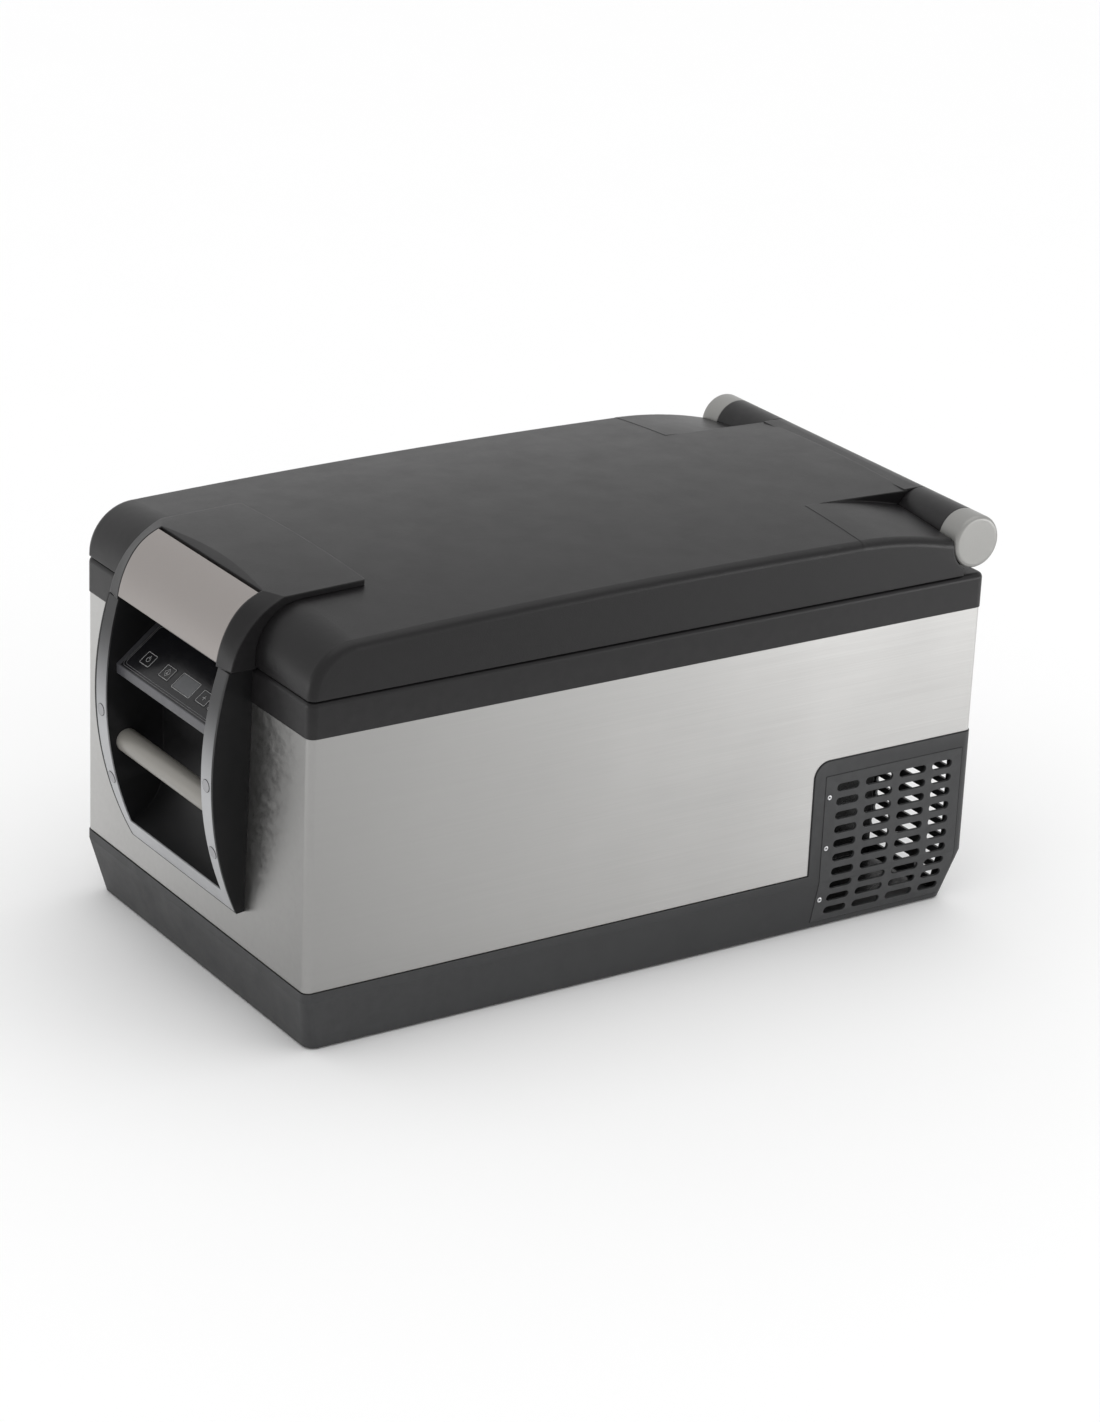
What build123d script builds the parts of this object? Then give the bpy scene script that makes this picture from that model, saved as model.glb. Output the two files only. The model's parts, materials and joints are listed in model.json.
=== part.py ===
from build123d import *
import math
import os

# Compressor cooler fridge for a camper van. Millimetres, +Z up, front (controls and latch) towards -Y,
# hinge towards +Y. The origin is the middle of the footprint on the ground.

# ---- driving dimensions -------------------------------------------------------------------------
BODY_LENGTH = 825.0
BODY_WIDTH = 470.0
BODY_CORNER = 8.0
CONSOLE_REACH = 46.6
HINGE_RADIUS = 29.0
HINGE_INSET = 14.2
LEDGE = 1.0

FOOT_HEIGHT = 2.0
BASE_TOP = 70.0
BASE_KINK = 60.0
BASE_DRAFT = 13.0
WRAP_BOTTOM = 71.0
WRAP_TOP = 343.0
RIM_TOP = 381.5
LID_BOTTOM = 382.7
LID_PEAK = 455.5
HINGE_Z = 418.0

SHEET = 1.2
WALL = 4.0
FIT_GAP = 0.3
RUN_GAP = 0.05

# ---- worked out from the driving dimensions ----------------------------------------------------
FRONT = -(BODY_LENGTH + CONSOLE_REACH + HINGE_RADIUS - HINGE_INSET) / 2 + CONSOLE_REACH
REAR = FRONT + BODY_LENGTH
MID = (FRONT + REAR) / 2
HALF = BODY_WIDTH / 2
HINGE_Y = REAR - HINGE_INSET
SKIN_HALF = HALF + LEDGE
SKIN_LENGTH = BODY_LENGTH + 2 * LEDGE
TALL = 600.0
WIDE = 300.0

os.makedirs("parts", exist_ok=True)


def save(part, label):
    part.label = label
    export_step(part, f"parts/{label}.step")


# ---- helpers: each returns a finished solid to add to, or take from, a sub-part ----------------
def block(x0, x1, y0, y1, z0, z1):
    with BuildPart() as piece:
        with BuildSketch(Plane.XY.offset(z0)):
            with Locations(((x0 + x1) / 2, (y0 + y1) / 2)):
                Rectangle(x1 - x0, y1 - y0)
        extrude(amount=z1 - z0)
    return piece.part


def round_block(width, length, corner, z0, z1, x=0.0, y=MID):
    with BuildPart() as piece:
        with BuildSketch(Plane.XY.offset(z0)):
            with Locations((x, y)):
                RectangleRounded(width, length, corner)
        extrude(amount=z1 - z0)
    return piece.part


def side_slab(points, half_width, x=0.0):
    """A prism across X from a closed outline of (y, z) points."""
    with BuildPart() as piece:
        with BuildSketch(Plane.YZ.offset(x)):
            with BuildLine():
                Polyline(*points, close=True)
            make_face()
        extrude(amount=half_width, both=True)
    return piece.part


def front_slab(points, y0, y1):
    """A prism along Y from a closed outline of (x, z) points."""
    with BuildPart() as piece:
        with BuildSketch(Plane.XZ.offset(-y1)):
            with BuildLine():
                Polyline(*points, close=True)
            make_face()
        extrude(amount=y1 - y0)
    return piece.part


def rod(radius, start, end):
    """A round bar from one point to another."""
    path = Vector(*end) - Vector(*start)
    with BuildPart() as piece:
        with BuildSketch(Plane(origin=start, z_dir=path)):
            Circle(radius)
        extrude(amount=path.length)
    return piece.part


def tube_run(radius, points, bend):
    """A pipe of straight runs joined by equal bends."""
    with BuildPart() as piece:
        with BuildLine() as route:
            FilletPolyline(*points, radius=bend)
        with BuildSketch(Plane(origin=points[0], z_dir=Vector(*points[1]) - Vector(*points[0]))):
            Circle(radius)
        sweep(path=route.wires()[0])
    return piece.part


# ---- the body's outer form: straight walls with a drafted foot ---------------------------------
def body_form(inset, low, high):
    """The base moulding's outside, pulled in by inset, between two heights."""
    corner = BODY_CORNER + LEDGE - min(inset, BODY_CORNER - LEDGE)
    with BuildPart() as piece:
        for level, draft in ((low, BASE_DRAFT), (BASE_KINK, 0.0)):
            with BuildSketch(Plane.XY.offset(level)):
                with Locations((0, MID)):
                    wide = 2 * (SKIN_HALF - inset - draft)
                    deep = SKIN_LENGTH - 2 * (inset + draft)
                    RectangleRounded(wide, deep, corner + draft / 4)
        loft(ruled=True)
        with BuildSketch(Plane.XY.offset(BASE_KINK)):
            with Locations((0, MID)):
                RectangleRounded(2 * (SKIN_HALF - inset), SKIN_LENGTH - 2 * inset, corner)
        extrude(amount=high - BASE_KINK)
    return piece.part


# ---- vent frame and grilles --------------------------------------------------------------------
VENT_TOP = 200.0
VENT_FRONT = REAR - 208.0
VENT_CORNER = 19.0
GRILLE_TOP = 183.0
GRILLE_LOW = 8.0
GRILLE_FRONT = REAR - 193.5
GRILLE_BACK = REAR - 11.0
GRILLE_THICK = 3.0
SLOT_ROWS = 10
SLOT_PITCH = 16.3
SLOT_HEIGHT = 9.0
SLOT_TOP = 167.0
SLOT_EDGES = (REAR - 178.0, REAR - 140.0, REAR - 95.0, REAR - 50.5, REAR - 15.5)
SLOT_RIB = 8.5
REAR_GRILLE_LEFT = -60.0
REAR_GRILLE_RIGHT = 208.0
REAR_SLOT_PITCH = 44.5


def vent_outline(front, top, corner):
    """The side vent's outline in the YZ plane, open to the rear and to the foot."""
    with BuildPart() as piece:
        with BuildSketch(Plane.YZ):
            with BuildLine():
                rise = Line((front, -WALL), (front, top - corner))
                turn = RadiusArc(rise @ 1, (front + corner, top), corner)
                Polyline(turn @ 1, (REAR + TALL, top), (REAR + TALL, -WALL), (front, -WALL))
            make_face()
        extrude(amount=WIDE, both=True)
    return piece.part


def slot_rows(edges, rib, plane_side):
    """The slots of one grille as bars that run through the wall."""
    bars = []
    for row in range(SLOT_ROWS):
        height = SLOT_TOP - row * SLOT_PITCH
        for start, end in zip(edges[:-1], edges[1:]):
            bars.append((start, end - rib, height))
    with BuildPart() as piece:
        with BuildSketch(plane_side):
            for start, end, height in bars:
                with Locations(((start + end) / 2, height)):
                    SlotOverall(end - start, SLOT_HEIGHT)
        extrude(amount=WALL * 10)
    return piece.part


vent_side = vent_outline(VENT_FRONT, VENT_TOP, VENT_CORNER)
keep_sides = block(-WIDE, WIDE, GRILLE_FRONT, GRILLE_BACK, GRILLE_LOW, GRILLE_TOP)
rear_edges = []
for step in range(7):
    rear_edges.append(REAR_GRILLE_LEFT + 8.0 + step * REAR_SLOT_PITCH)

# ---- base tub ----------------------------------------------------------------------------------
base_skin = body_form(0.0, FOOT_HEIGHT, VENT_TOP)
base_core = body_form(WALL, FOOT_HEIGHT + WALL, VENT_TOP + WALL)
seat_core = body_form(GRILLE_THICK + FIT_GAP, FOOT_HEIGHT, VENT_TOP)
above_base = block(-WIDE, WIDE, FRONT - TALL, REAR + TALL, BASE_TOP, TALL)
WINDOW_LIP = 6.0
side_window = block(
    -WIDE,
    WIDE,
    GRILLE_FRONT + WINDOW_LIP,
    GRILLE_BACK - WINDOW_LIP,
    GRILLE_LOW + WALL,
    GRILLE_TOP - WINDOW_LIP,
)
rear_seat = block(
    REAR_GRILLE_LEFT, REAR_GRILLE_RIGHT, REAR - BASE_DRAFT * 2, REAR + WALL, GRILLE_LOW, GRILLE_TOP
)
rear_window = block(
    REAR_GRILLE_LEFT + WINDOW_LIP,
    REAR_GRILLE_RIGHT - WINDOW_LIP,
    REAR - BASE_DRAFT * 2,
    REAR + WALL,
    GRILLE_LOW + WALL,
    GRILLE_TOP - WINDOW_LIP,
)

SOCKET_X = -150.0
SOCKET_Z = 140.0
SOCKET_WIDTH = 110.0
SOCKET_HEIGHT = 60.0
DRAIN_X = 60.0
DRAIN_Y = -60.0
DRAIN_RADIUS = 9.0

with BuildPart() as upstand:
    add(base_skin)
    add(vent_side, mode=Mode.INTERSECT)
    add(above_base, mode=Mode.INTERSECT)

with BuildPart() as base_tub:
    add(base_skin)
    add(above_base, mode=Mode.SUBTRACT)
    add(upstand.part)
    add(base_core, mode=Mode.SUBTRACT)
    add(keep_sides - seat_core, mode=Mode.SUBTRACT)
    add(side_window, mode=Mode.SUBTRACT)
    add(rear_seat - seat_core, mode=Mode.SUBTRACT)
    add(rear_window, mode=Mode.SUBTRACT)
    add(
        block(
            SOCKET_X - SOCKET_WIDTH / 2,
            SOCKET_X + SOCKET_WIDTH / 2,
            REAR - 2 * WALL,
            REAR + WALL,
            SOCKET_Z - SOCKET_HEIGHT / 2,
            SOCKET_Z + SOCKET_HEIGHT / 2,
        ),
        mode=Mode.SUBTRACT,
    )
    add(rod(DRAIN_RADIUS + WALL, (DRAIN_X, DRAIN_Y, 0), (DRAIN_X, DRAIN_Y, BASE_TOP)), mode=Mode.SUBTRACT)
save(base_tub.part, "base_tub")

# ---- vent grilles ------------------------------------------------------------------------------
grille_band = body_form(0.0, FOOT_HEIGHT, VENT_TOP) - seat_core
right_slots = slot_rows(SLOT_EDGES, SLOT_RIB, Plane.YZ.offset(SKIN_HALF - BASE_DRAFT * 2))
left_slots = mirror(right_slots, about=Plane.YZ)
rear_slots = slot_rows(rear_edges, SLOT_RIB, Plane.XZ.offset(-REAR - WALL))

for side, slots, x0, x1 in (
    ("right", right_slots, SKIN_HALF - BASE_DRAFT * 2, WIDE),
    ("left", left_slots, -WIDE, -SKIN_HALF + BASE_DRAFT * 2),
):
    with BuildPart() as vent_grille:
        add(grille_band)
        add(
            block(
                x0,
                x1,
                GRILLE_FRONT + FIT_GAP,
                GRILLE_BACK - FIT_GAP,
                GRILLE_LOW + FIT_GAP,
                GRILLE_TOP - FIT_GAP,
            ),
            mode=Mode.INTERSECT,
        )
        add(slots, mode=Mode.SUBTRACT)
    save(vent_grille.part, f"vent_grille_{side}")

with BuildPart() as vent_grille_rear:
    add(grille_band)
    add(
        block(
            REAR_GRILLE_LEFT + FIT_GAP,
            REAR_GRILLE_RIGHT - FIT_GAP,
            REAR - BASE_DRAFT * 2,
            REAR + WALL,
            GRILLE_LOW + FIT_GAP,
            GRILLE_TOP - FIT_GAP,
        ),
        mode=Mode.INTERSECT,
    )
    add(rear_slots, mode=Mode.SUBTRACT)
save(vent_grille_rear.part, "vent_grille_rear")

SCREW_HEAD = 2.8
SCREW_STAND = 0.6
screw_heights = (158.0, 99.0, 37.0)
with BuildPart() as grille_screws:
    for height in screw_heights:
        for side in (-1, 1):
            skin = SKIN_HALF - BASE_DRAFT * max(BASE_KINK - height, 0) / (BASE_KINK - FOOT_HEIGHT)
            add(
                rod(
                    SCREW_HEAD,
                    (side * skin, GRILLE_FRONT + 6.0, height),
                    (side * (skin + SCREW_STAND), GRILLE_FRONT + 6.0, height),
                )
            )
    add(grille_band, mode=Mode.SUBTRACT)
save(grille_screws.part, "grille_screws")

# ---- console outline on the body's front -------------------------------------------------------
BOW_RADIUS = 370.0
BOW_Z = 272.0
CONSOLE_LOW = 111.5
CONSOLE_TOP = 380.0
CONSOLE_HALF_LOW = 111.0
CONSOLE_HALF_TOP = 122.5
CONSOLE_FLARE = 11.0
POCKET_LOW = 131.0
POCKET_TOP = 373.0
POCKET_HALF_LOW = 98.0
POCKET_HALF_TOP = 106.0
POCKET_DEPTH = 19.5
POCKET_RADIUS = 57.0
POCKET_WALL = 3.0
TRIM_THICK = 1.6
TRIM_EDGE = 3.5


def bow_slab(reach, low, high):
    """Everything behind the console's bowed front, between two heights."""
    centre = FRONT - reach + BOW_RADIUS
    with BuildPart() as piece:
        with BuildSketch(Plane.YZ):
            with Locations((centre, BOW_Z)):
                Circle(BOW_RADIUS)
        extrude(amount=WIDE, both=True)
        add(block(-WIDE, WIDE, FRONT - TALL, centre, low, high), mode=Mode.INTERSECT)
    return piece.part


def console_plan(trim_in, low, high):
    """The console's drafted outline seen from the front, pushed out from the body's face."""
    slope = (CONSOLE_HALF_TOP - CONSOLE_HALF_LOW) / (CONSOLE_TOP - CONSOLE_LOW)
    half_low = CONSOLE_HALF_LOW - trim_in + slope * (low - CONSOLE_LOW)
    half_high = CONSOLE_HALF_LOW - trim_in + slope * (high - CONSOLE_LOW)
    with BuildPart() as piece:
        with BuildSketch(Plane.XZ.offset(-FRONT)):
            with BuildLine():
                Polyline((-half_low, low), (half_low, low), (half_high, high), (-half_high, high), close=True)
            make_face()
        extrude(amount=CONSOLE_REACH + WALL, taper=-CONSOLE_FLARE)
    return piece.part


def pocket_half(height):
    """The hand recess's half width at a height."""
    share = (height - POCKET_LOW) / (POCKET_TOP - POCKET_LOW)
    return POCKET_HALF_LOW + share * (POCKET_HALF_TOP - POCKET_HALF_LOW)


def pocket_form(grow):
    """The hand recess: a drafted window with a floor that curves up into its back wall."""
    low = POCKET_LOW - grow
    high = POCKET_TOP + grow
    back = FRONT + POCKET_DEPTH + grow
    bend = POCKET_RADIUS + grow
    with BuildPart() as piece:
        with BuildSketch(Plane.YZ):
            with BuildLine():
                floor = Line((FRONT - TALL, low), (back - bend, low))
                scoop = RadiusArc(floor @ 1, (back, low + bend), -bend)
                Polyline(scoop @ 1, (back, high), (FRONT - TALL, high), floor @ 0)
            make_face()
        extrude(amount=WIDE, both=True)
        half_low = pocket_half(low) + grow
        half_high = pocket_half(high) + grow
        window = ((-half_low, low), (half_low, low), (half_high, high), (-half_high, high))
        add(front_slab(window, FRONT - TALL, REAR), mode=Mode.INTERSECT)
    return piece.part


pocket = pocket_form(0.0)
pocket_shell = pocket_form(POCKET_WALL) & block(-WIDE, WIDE, FRONT, REAR, 0, TALL)
pocket_room = pocket_form(POCKET_WALL + FIT_GAP) & block(-WIDE, WIDE, FRONT - WALL, REAR, 0, TALL)

# ---- steel wrap --------------------------------------------------------------------------------
GRIP_WIDTH = 150.0
GRIP_LOW = 268.0
GRIP_HIGH = 316.0
GRIP_DEPTH = 30.0
grip_room = block(
    -GRIP_WIDTH / 2 - POCKET_WALL,
    GRIP_WIDTH / 2 + POCKET_WALL,
    REAR - GRIP_DEPTH - POCKET_WALL,
    REAR + WALL,
    GRIP_LOW - POCKET_WALL,
    GRIP_HIGH + POCKET_WALL,
)
vent_room = vent_outline(VENT_FRONT - LEDGE, VENT_TOP + LEDGE, VENT_CORNER)

with BuildPart() as steel_wrap:
    add(round_block(BODY_WIDTH, BODY_LENGTH, BODY_CORNER, WRAP_BOTTOM, WRAP_TOP))
    add(
        round_block(
            BODY_WIDTH - 2 * SHEET,
            BODY_LENGTH - 2 * SHEET,
            BODY_CORNER - SHEET,
            WRAP_BOTTOM,
            WRAP_TOP,
        ),
        mode=Mode.SUBTRACT,
    )
    add(vent_room, mode=Mode.SUBTRACT)
    add(pocket_room, mode=Mode.SUBTRACT)
    add(grip_room, mode=Mode.SUBTRACT)
save(steel_wrap.part, "steel_wrap")

# ---- rear grip cup -----------------------------------------------------------------------------
with BuildPart() as rear_grip:
    add(grip_room)
    add(block(-WIDE, WIDE, REAR, REAR + TALL, 0, TALL), mode=Mode.SUBTRACT)
    add(
        block(
            -GRIP_WIDTH / 2 - 3 * POCKET_WALL,
            GRIP_WIDTH / 2 + 3 * POCKET_WALL,
            REAR,
            REAR + POCKET_WALL,
            GRIP_LOW - 3 * POCKET_WALL,
            GRIP_HIGH + 3 * POCKET_WALL,
        )
    )
    add(
        block(-GRIP_WIDTH / 2, GRIP_WIDTH / 2, REAR - GRIP_DEPTH, REAR + WALL, GRIP_LOW, GRIP_HIGH),
        mode=Mode.SUBTRACT,
    )
save(rear_grip.part, "rear_grip")

# ---- liner and rim -----------------------------------------------------------------------------
MOUTH_HALF = 186.0
MOUTH_FRONT = FRONT + 52.0
MOUTH_REAR = REAR - 64.0
MOUTH_CORNER = 26.0
STEP_Y = REAR - 250.0
STEP_Z = 222.0
LINER_WALL = 2.5
LINER_FLOOR = 46.0
DECK_TOP = 374.0
DECK_THICK = 3.0
RIM_LEDGE = 24.0
REAR_LEDGE = 43.0
SKIRT = 3.0


def cabin(grow, top):
    """The food space: deep at the front, stepped up over the compressor bay."""
    with BuildPart() as piece:
        mid = (MOUTH_FRONT + MOUTH_REAR) / 2
        length = MOUTH_REAR - MOUTH_FRONT + 2 * grow
        add(
            round_block(
                2 * (MOUTH_HALF + grow),
                length,
                MOUTH_CORNER + grow,
                LINER_FLOOR + LINER_WALL - grow,
                top,
                y=mid,
            )
        )
        add(block(-WIDE, WIDE, STEP_Y + grow, REAR + TALL, 0, STEP_Z - grow), mode=Mode.SUBTRACT)
    return piece.part


cabin_space = cabin(0.0, TALL)
with BuildPart() as inner_liner:
    add(cabin(LINER_WALL, DECK_TOP - DECK_THICK - FIT_GAP))
    add(cabin_space, mode=Mode.SUBTRACT)
    add(rod(DRAIN_RADIUS, (DRAIN_X, DRAIN_Y, 0), (DRAIN_X, DRAIN_Y, STEP_Z)), mode=Mode.SUBTRACT)
save(inner_liner.part, "inner_liner")

mouth = round_block(
    2 * MOUTH_HALF,
    MOUTH_REAR - MOUTH_FRONT,
    MOUTH_CORNER,
    0,
    TALL,
    y=(MOUTH_FRONT + MOUTH_REAR) / 2,
)


def well_block(inset, low, high):
    """The sunk seat round the mouth that the lid's seal presses on."""
    return round_block(
        2 * (SKIN_HALF - RIM_LEDGE - inset),
        SKIN_LENGTH - RIM_LEDGE - REAR_LEDGE - 2 * inset,
        MOUTH_CORNER + WALL,
        low,
        high,
        y=MID + (RIM_LEDGE - REAR_LEDGE) / 2,
    )


deck_well = well_block(0.0, DECK_TOP, TALL)
with BuildPart() as top_rim:
    add(round_block(2 * SKIN_HALF, SKIN_LENGTH, BODY_CORNER + LEDGE, WRAP_TOP, RIM_TOP))
    rear_top = top_rim.edges().filter_by(Axis.X).group_by(Axis.Z)[-1].sort_by(Axis.Y)[-1]
    fillet(rear_top, radius=HINGE_RADIUS / 5)
    add(
        round_block(
            2 * (SKIN_HALF - SKIRT), SKIN_LENGTH - 2 * SKIRT, BODY_CORNER, 0, DECK_TOP - DECK_THICK
        ),
        mode=Mode.SUBTRACT,
    )
    add(deck_well, mode=Mode.SUBTRACT)
    add(mouth, mode=Mode.SUBTRACT)
    add(pocket_room, mode=Mode.SUBTRACT)
save(top_rim.part, "top_rim")

# ---- insulation and compressor bay -------------------------------------------------------------
BAY_FRONT = VENT_FRONT + 6.0
BAY_TOP = VENT_TOP - 4.0
PARTITION = 1.5
INNER = HALF - SHEET - FIT_GAP
SHEET_ROOM = PARTITION + FIT_GAP
bay_sheet_space = block(-WIDE, WIDE, BAY_FRONT - SHEET_ROOM, REAR + TALL, 0, BAY_TOP + SHEET_ROOM)
FOAM_FLOOR = FOOT_HEIGHT + WALL + FIT_GAP
FOAM_GAP = 2.0
foam_top = DECK_TOP - DECK_THICK - FIT_GAP

with BuildPart() as insulation_foam:
    add(body_form(WALL + FIT_GAP, FOAM_FLOOR, foam_top))
    add(cabin(LINER_WALL + FOAM_GAP, TALL), mode=Mode.SUBTRACT)
    add(bay_sheet_space, mode=Mode.SUBTRACT)
    add(pocket_room, mode=Mode.SUBTRACT)
    add(grip_room, mode=Mode.SUBTRACT)
    add(rod(DRAIN_RADIUS + WALL, (DRAIN_X, DRAIN_Y, 0), (DRAIN_X, DRAIN_Y, STEP_Z)), mode=Mode.SUBTRACT)
save(insulation_foam.part, "insulation_foam")

with BuildPart() as bay_partition:
    sheet_half = INNER - WALL
    sheet_front = BAY_FRONT - PARTITION
    sheet_rear = REAR - WALL - FIT_GAP
    add(block(-sheet_half, sheet_half, sheet_front, BAY_FRONT, FOAM_FLOOR + BASE_DRAFT, BAY_TOP))
    add(block(-sheet_half, sheet_half, sheet_front, sheet_rear, BAY_TOP, BAY_TOP + PARTITION))
    add(body_form(WALL + FIT_GAP, FOAM_FLOOR, VENT_TOP), mode=Mode.INTERSECT)
save(bay_partition.part, "bay_partition")

# ---- console: trim, frame, plugs, carry bar ----------------------------------------------------
bow = bow_slab(CONSOLE_REACH, CONSOLE_LOW, CONSOLE_TOP)
bow_under_trim = bow_slab(CONSOLE_REACH - TRIM_THICK, CONSOLE_LOW - WALL, CONSOLE_TOP + WALL)
pocket_ahead = pocket_form(0.0) & block(-WIDE, WIDE, FRONT - TALL, FRONT + WALL, 0, TALL)
LEVER_BAY_FRONT = FRONT - 18.0

PLUG_RADIUS = 6.5
PLUG_STAND = 0.5
PLUG_PLACES = ((113.0, 259.0), (109.0, 183.0))


def bow_reach(height):
    """How far the console's bow stands ahead of the body's face at a height."""
    drop = BOW_RADIUS - math.sqrt(BOW_RADIUS**2 - (height - BOW_Z) ** 2)
    return CONSOLE_REACH - drop


with BuildPart() as trim_plugs:
    for across, height in PLUG_PLACES:
        lean = math.asin((height - BOW_Z) / BOW_RADIUS)
        out = Vector(0, -math.cos(lean), math.sin(lean))
        for side in (-1, 1):
            centre = Vector(side * across, FRONT - bow_reach(height), height)
            inner_end = centre - out * (2 * TRIM_THICK)
            add(rod(PLUG_RADIUS, tuple(inner_end), tuple(centre + out * PLUG_STAND)))
    fillet(trim_plugs.edges().group_by(Axis.Y)[0], radius=PLUG_STAND / 2)
save(trim_plugs.part, "trim_plugs")

with BuildPart() as console_trim:
    add(bow)
    add(console_plan(TRIM_EDGE, CONSOLE_LOW + TRIM_EDGE, CONSOLE_TOP - FIT_GAP), mode=Mode.INTERSECT)
    add(bow_under_trim, mode=Mode.SUBTRACT)
    add(pocket_ahead, mode=Mode.SUBTRACT)
    add(
        block(
            -POCKET_HALF_TOP - FIT_GAP,
            POCKET_HALF_TOP + FIT_GAP,
            FRONT - TALL,
            REAR,
            POCKET_TOP - WALL,
            TALL,
        ),
        mode=Mode.SUBTRACT,
    )
    add(trim_plugs.part, mode=Mode.SUBTRACT)
save(console_trim.part, "console_trim")

with BuildPart() as console_frame:
    add(bow)
    add(console_plan(0.0, CONSOLE_LOW, CONSOLE_TOP), mode=Mode.INTERSECT)
    add(pocket_shell)
    add(pocket, mode=Mode.SUBTRACT)
    add(
        block(-POCKET_HALF_TOP, POCKET_HALF_TOP, FRONT - TALL, LEVER_BAY_FRONT, POCKET_TOP - WALL, TALL),
        mode=Mode.SUBTRACT,
    )
    add(console_trim.part, mode=Mode.SUBTRACT)
    add(trim_plugs.part, mode=Mode.SUBTRACT)
    add(top_rim.part, mode=Mode.SUBTRACT)
save(console_frame.part, "console_frame")

BAR_RADIUS = 12.8
BAR_Z = 224.7
BAR_Y = FRONT - 22.1
with BuildPart() as carry_bar:
    bar_half = pocket_half(BAR_Z) + POCKET_WALL
    add(rod(BAR_RADIUS, (-bar_half, BAR_Y, BAR_Z), (bar_half, BAR_Y, BAR_Z)))
    add(console_frame.part, mode=Mode.SUBTRACT)
save(carry_bar.part, "carry_bar")

# ---- control panel -----------------------------------------------------------------------------
PANEL_LIP_Y = FRONT - 33.5
PANEL_LIP_LOW = 301.0
PANEL_LIP_TOP = 311.0
PANEL_SLOPE = 38.0
PANEL_BACK = FRONT + POCKET_DEPTH
PANEL_SHELL = 2.5
FASCIA_THICK = 1.6
FASCIA_LENGTH = 62.0
FASCIA_START = 1.5
BUTTON_ROW = 22.5
BUTTON_WIDE = 21.0
BUTTON_TALL = 16.0
BUTTON_DEEP = 4.0
BUTTON_GAP = 0.35
BUTTONS = {"power": -67.0, "source": -26.0, "up": 52.0, "down": 77.0}
DISPLAY_X = 13.5
DISPLAY_WIDE = 35.0
DISPLAY_TALL = 18.0
panel_rise = math.tan(math.radians(PANEL_SLOPE))
panel_top = PANEL_LIP_TOP + (PANEL_BACK - PANEL_LIP_Y) * panel_rise
panel_out = (0, -math.sin(math.radians(PANEL_SLOPE)), math.cos(math.radians(PANEL_SLOPE)))
panel_plane = Plane(origin=(0, PANEL_LIP_Y, PANEL_LIP_TOP), x_dir=(1, 0, 0), z_dir=panel_out)


def panel_block(x, y, wide, tall, low, high):
    """A block on the sloping panel, with low and high measured out of its face."""
    with BuildPart() as piece:
        with BuildSketch(panel_plane.offset(low)):
            with Locations((x, y)):
                Rectangle(wide, tall)
        extrude(amount=high - low)
    return piece.part


panel_sides = []
for grow in (0.0, PANEL_SHELL):
    panel_sides.append(
        (
            (PANEL_LIP_Y + grow, PANEL_LIP_LOW + grow),
            (PANEL_LIP_Y + grow, PANEL_LIP_TOP - grow * panel_rise),
            (PANEL_BACK - grow, panel_top - grow * 2),
            (PANEL_BACK - grow, PANEL_LIP_LOW + grow),
        )
    )
with BuildPart() as control_housing:
    add(side_slab(panel_sides[0], POCKET_HALF_TOP + WALL))
    add(side_slab(panel_sides[1], POCKET_HALF_LOW - PANEL_SHELL), mode=Mode.SUBTRACT)
    add(
        panel_block(
            0, FASCIA_START + FASCIA_LENGTH / 2, 2 * POCKET_HALF_LOW, FASCIA_LENGTH, -FASCIA_THICK, WALL
        ),
        mode=Mode.SUBTRACT,
    )
    add(
        panel_block(
            0,
            FASCIA_START + FASCIA_LENGTH / 2,
            2 * POCKET_HALF_LOW - 2 * WALL,
            FASCIA_LENGTH - 2 * WALL,
            -3 * WALL,
            WALL,
        ),
        mode=Mode.SUBTRACT,
    )
    add(pocket_form(0.0), mode=Mode.INTERSECT)
save(control_housing.part, "control_housing")

with BuildPart() as control_fascia:
    add(
        panel_block(
            0,
            FASCIA_START + FASCIA_LENGTH / 2,
            2 * POCKET_HALF_LOW - FIT_GAP,
            FASCIA_LENGTH - FIT_GAP,
            -FASCIA_THICK,
            0,
        )
    )
    for place in BUTTONS.values():
        add(
            panel_block(
                place,
                BUTTON_ROW,
                BUTTON_WIDE + 2 * BUTTON_GAP,
                BUTTON_TALL + 2 * BUTTON_GAP,
                -WALL,
                WALL,
            ),
            mode=Mode.SUBTRACT,
        )
    add(panel_block(DISPLAY_X, BUTTON_ROW, DISPLAY_WIDE, DISPLAY_TALL, -WALL, WALL), mode=Mode.SUBTRACT)
    add(control_housing.part, mode=Mode.SUBTRACT)
save(control_fascia.part, "control_fascia")

with BuildPart() as display_window:
    add(panel_block(DISPLAY_X, BUTTON_ROW, DISPLAY_WIDE, DISPLAY_TALL, -FASCIA_THICK * 2, -FASCIA_THICK / 8))
save(display_window.part, "display_window")

for name, place in BUTTONS.items():
    with BuildPart() as button:
        add(panel_block(place, BUTTON_ROW, BUTTON_WIDE, BUTTON_TALL, -BUTTON_DEEP, 0.3))
        top_ring = button.faces().sort_by(Axis((0, 0, 0), panel_out))[-1].edges()
        fillet(top_ring, radius=BUTTON_GAP)
    save(button.part, f"button_{name}")

BOARD_LOW = -9.0
BOARD_THICK = 1.6
with BuildPart() as control_board:
    add(
        panel_block(
            0,
            FASCIA_START + FASCIA_LENGTH / 2,
            2 * POCKET_HALF_LOW - 4 * WALL,
            FASCIA_LENGTH - 4 * WALL,
            BOARD_LOW,
            BOARD_LOW + BOARD_THICK,
        )
    )
    add(control_housing.part, mode=Mode.SUBTRACT)
save(control_board.part, "control_board")

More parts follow.
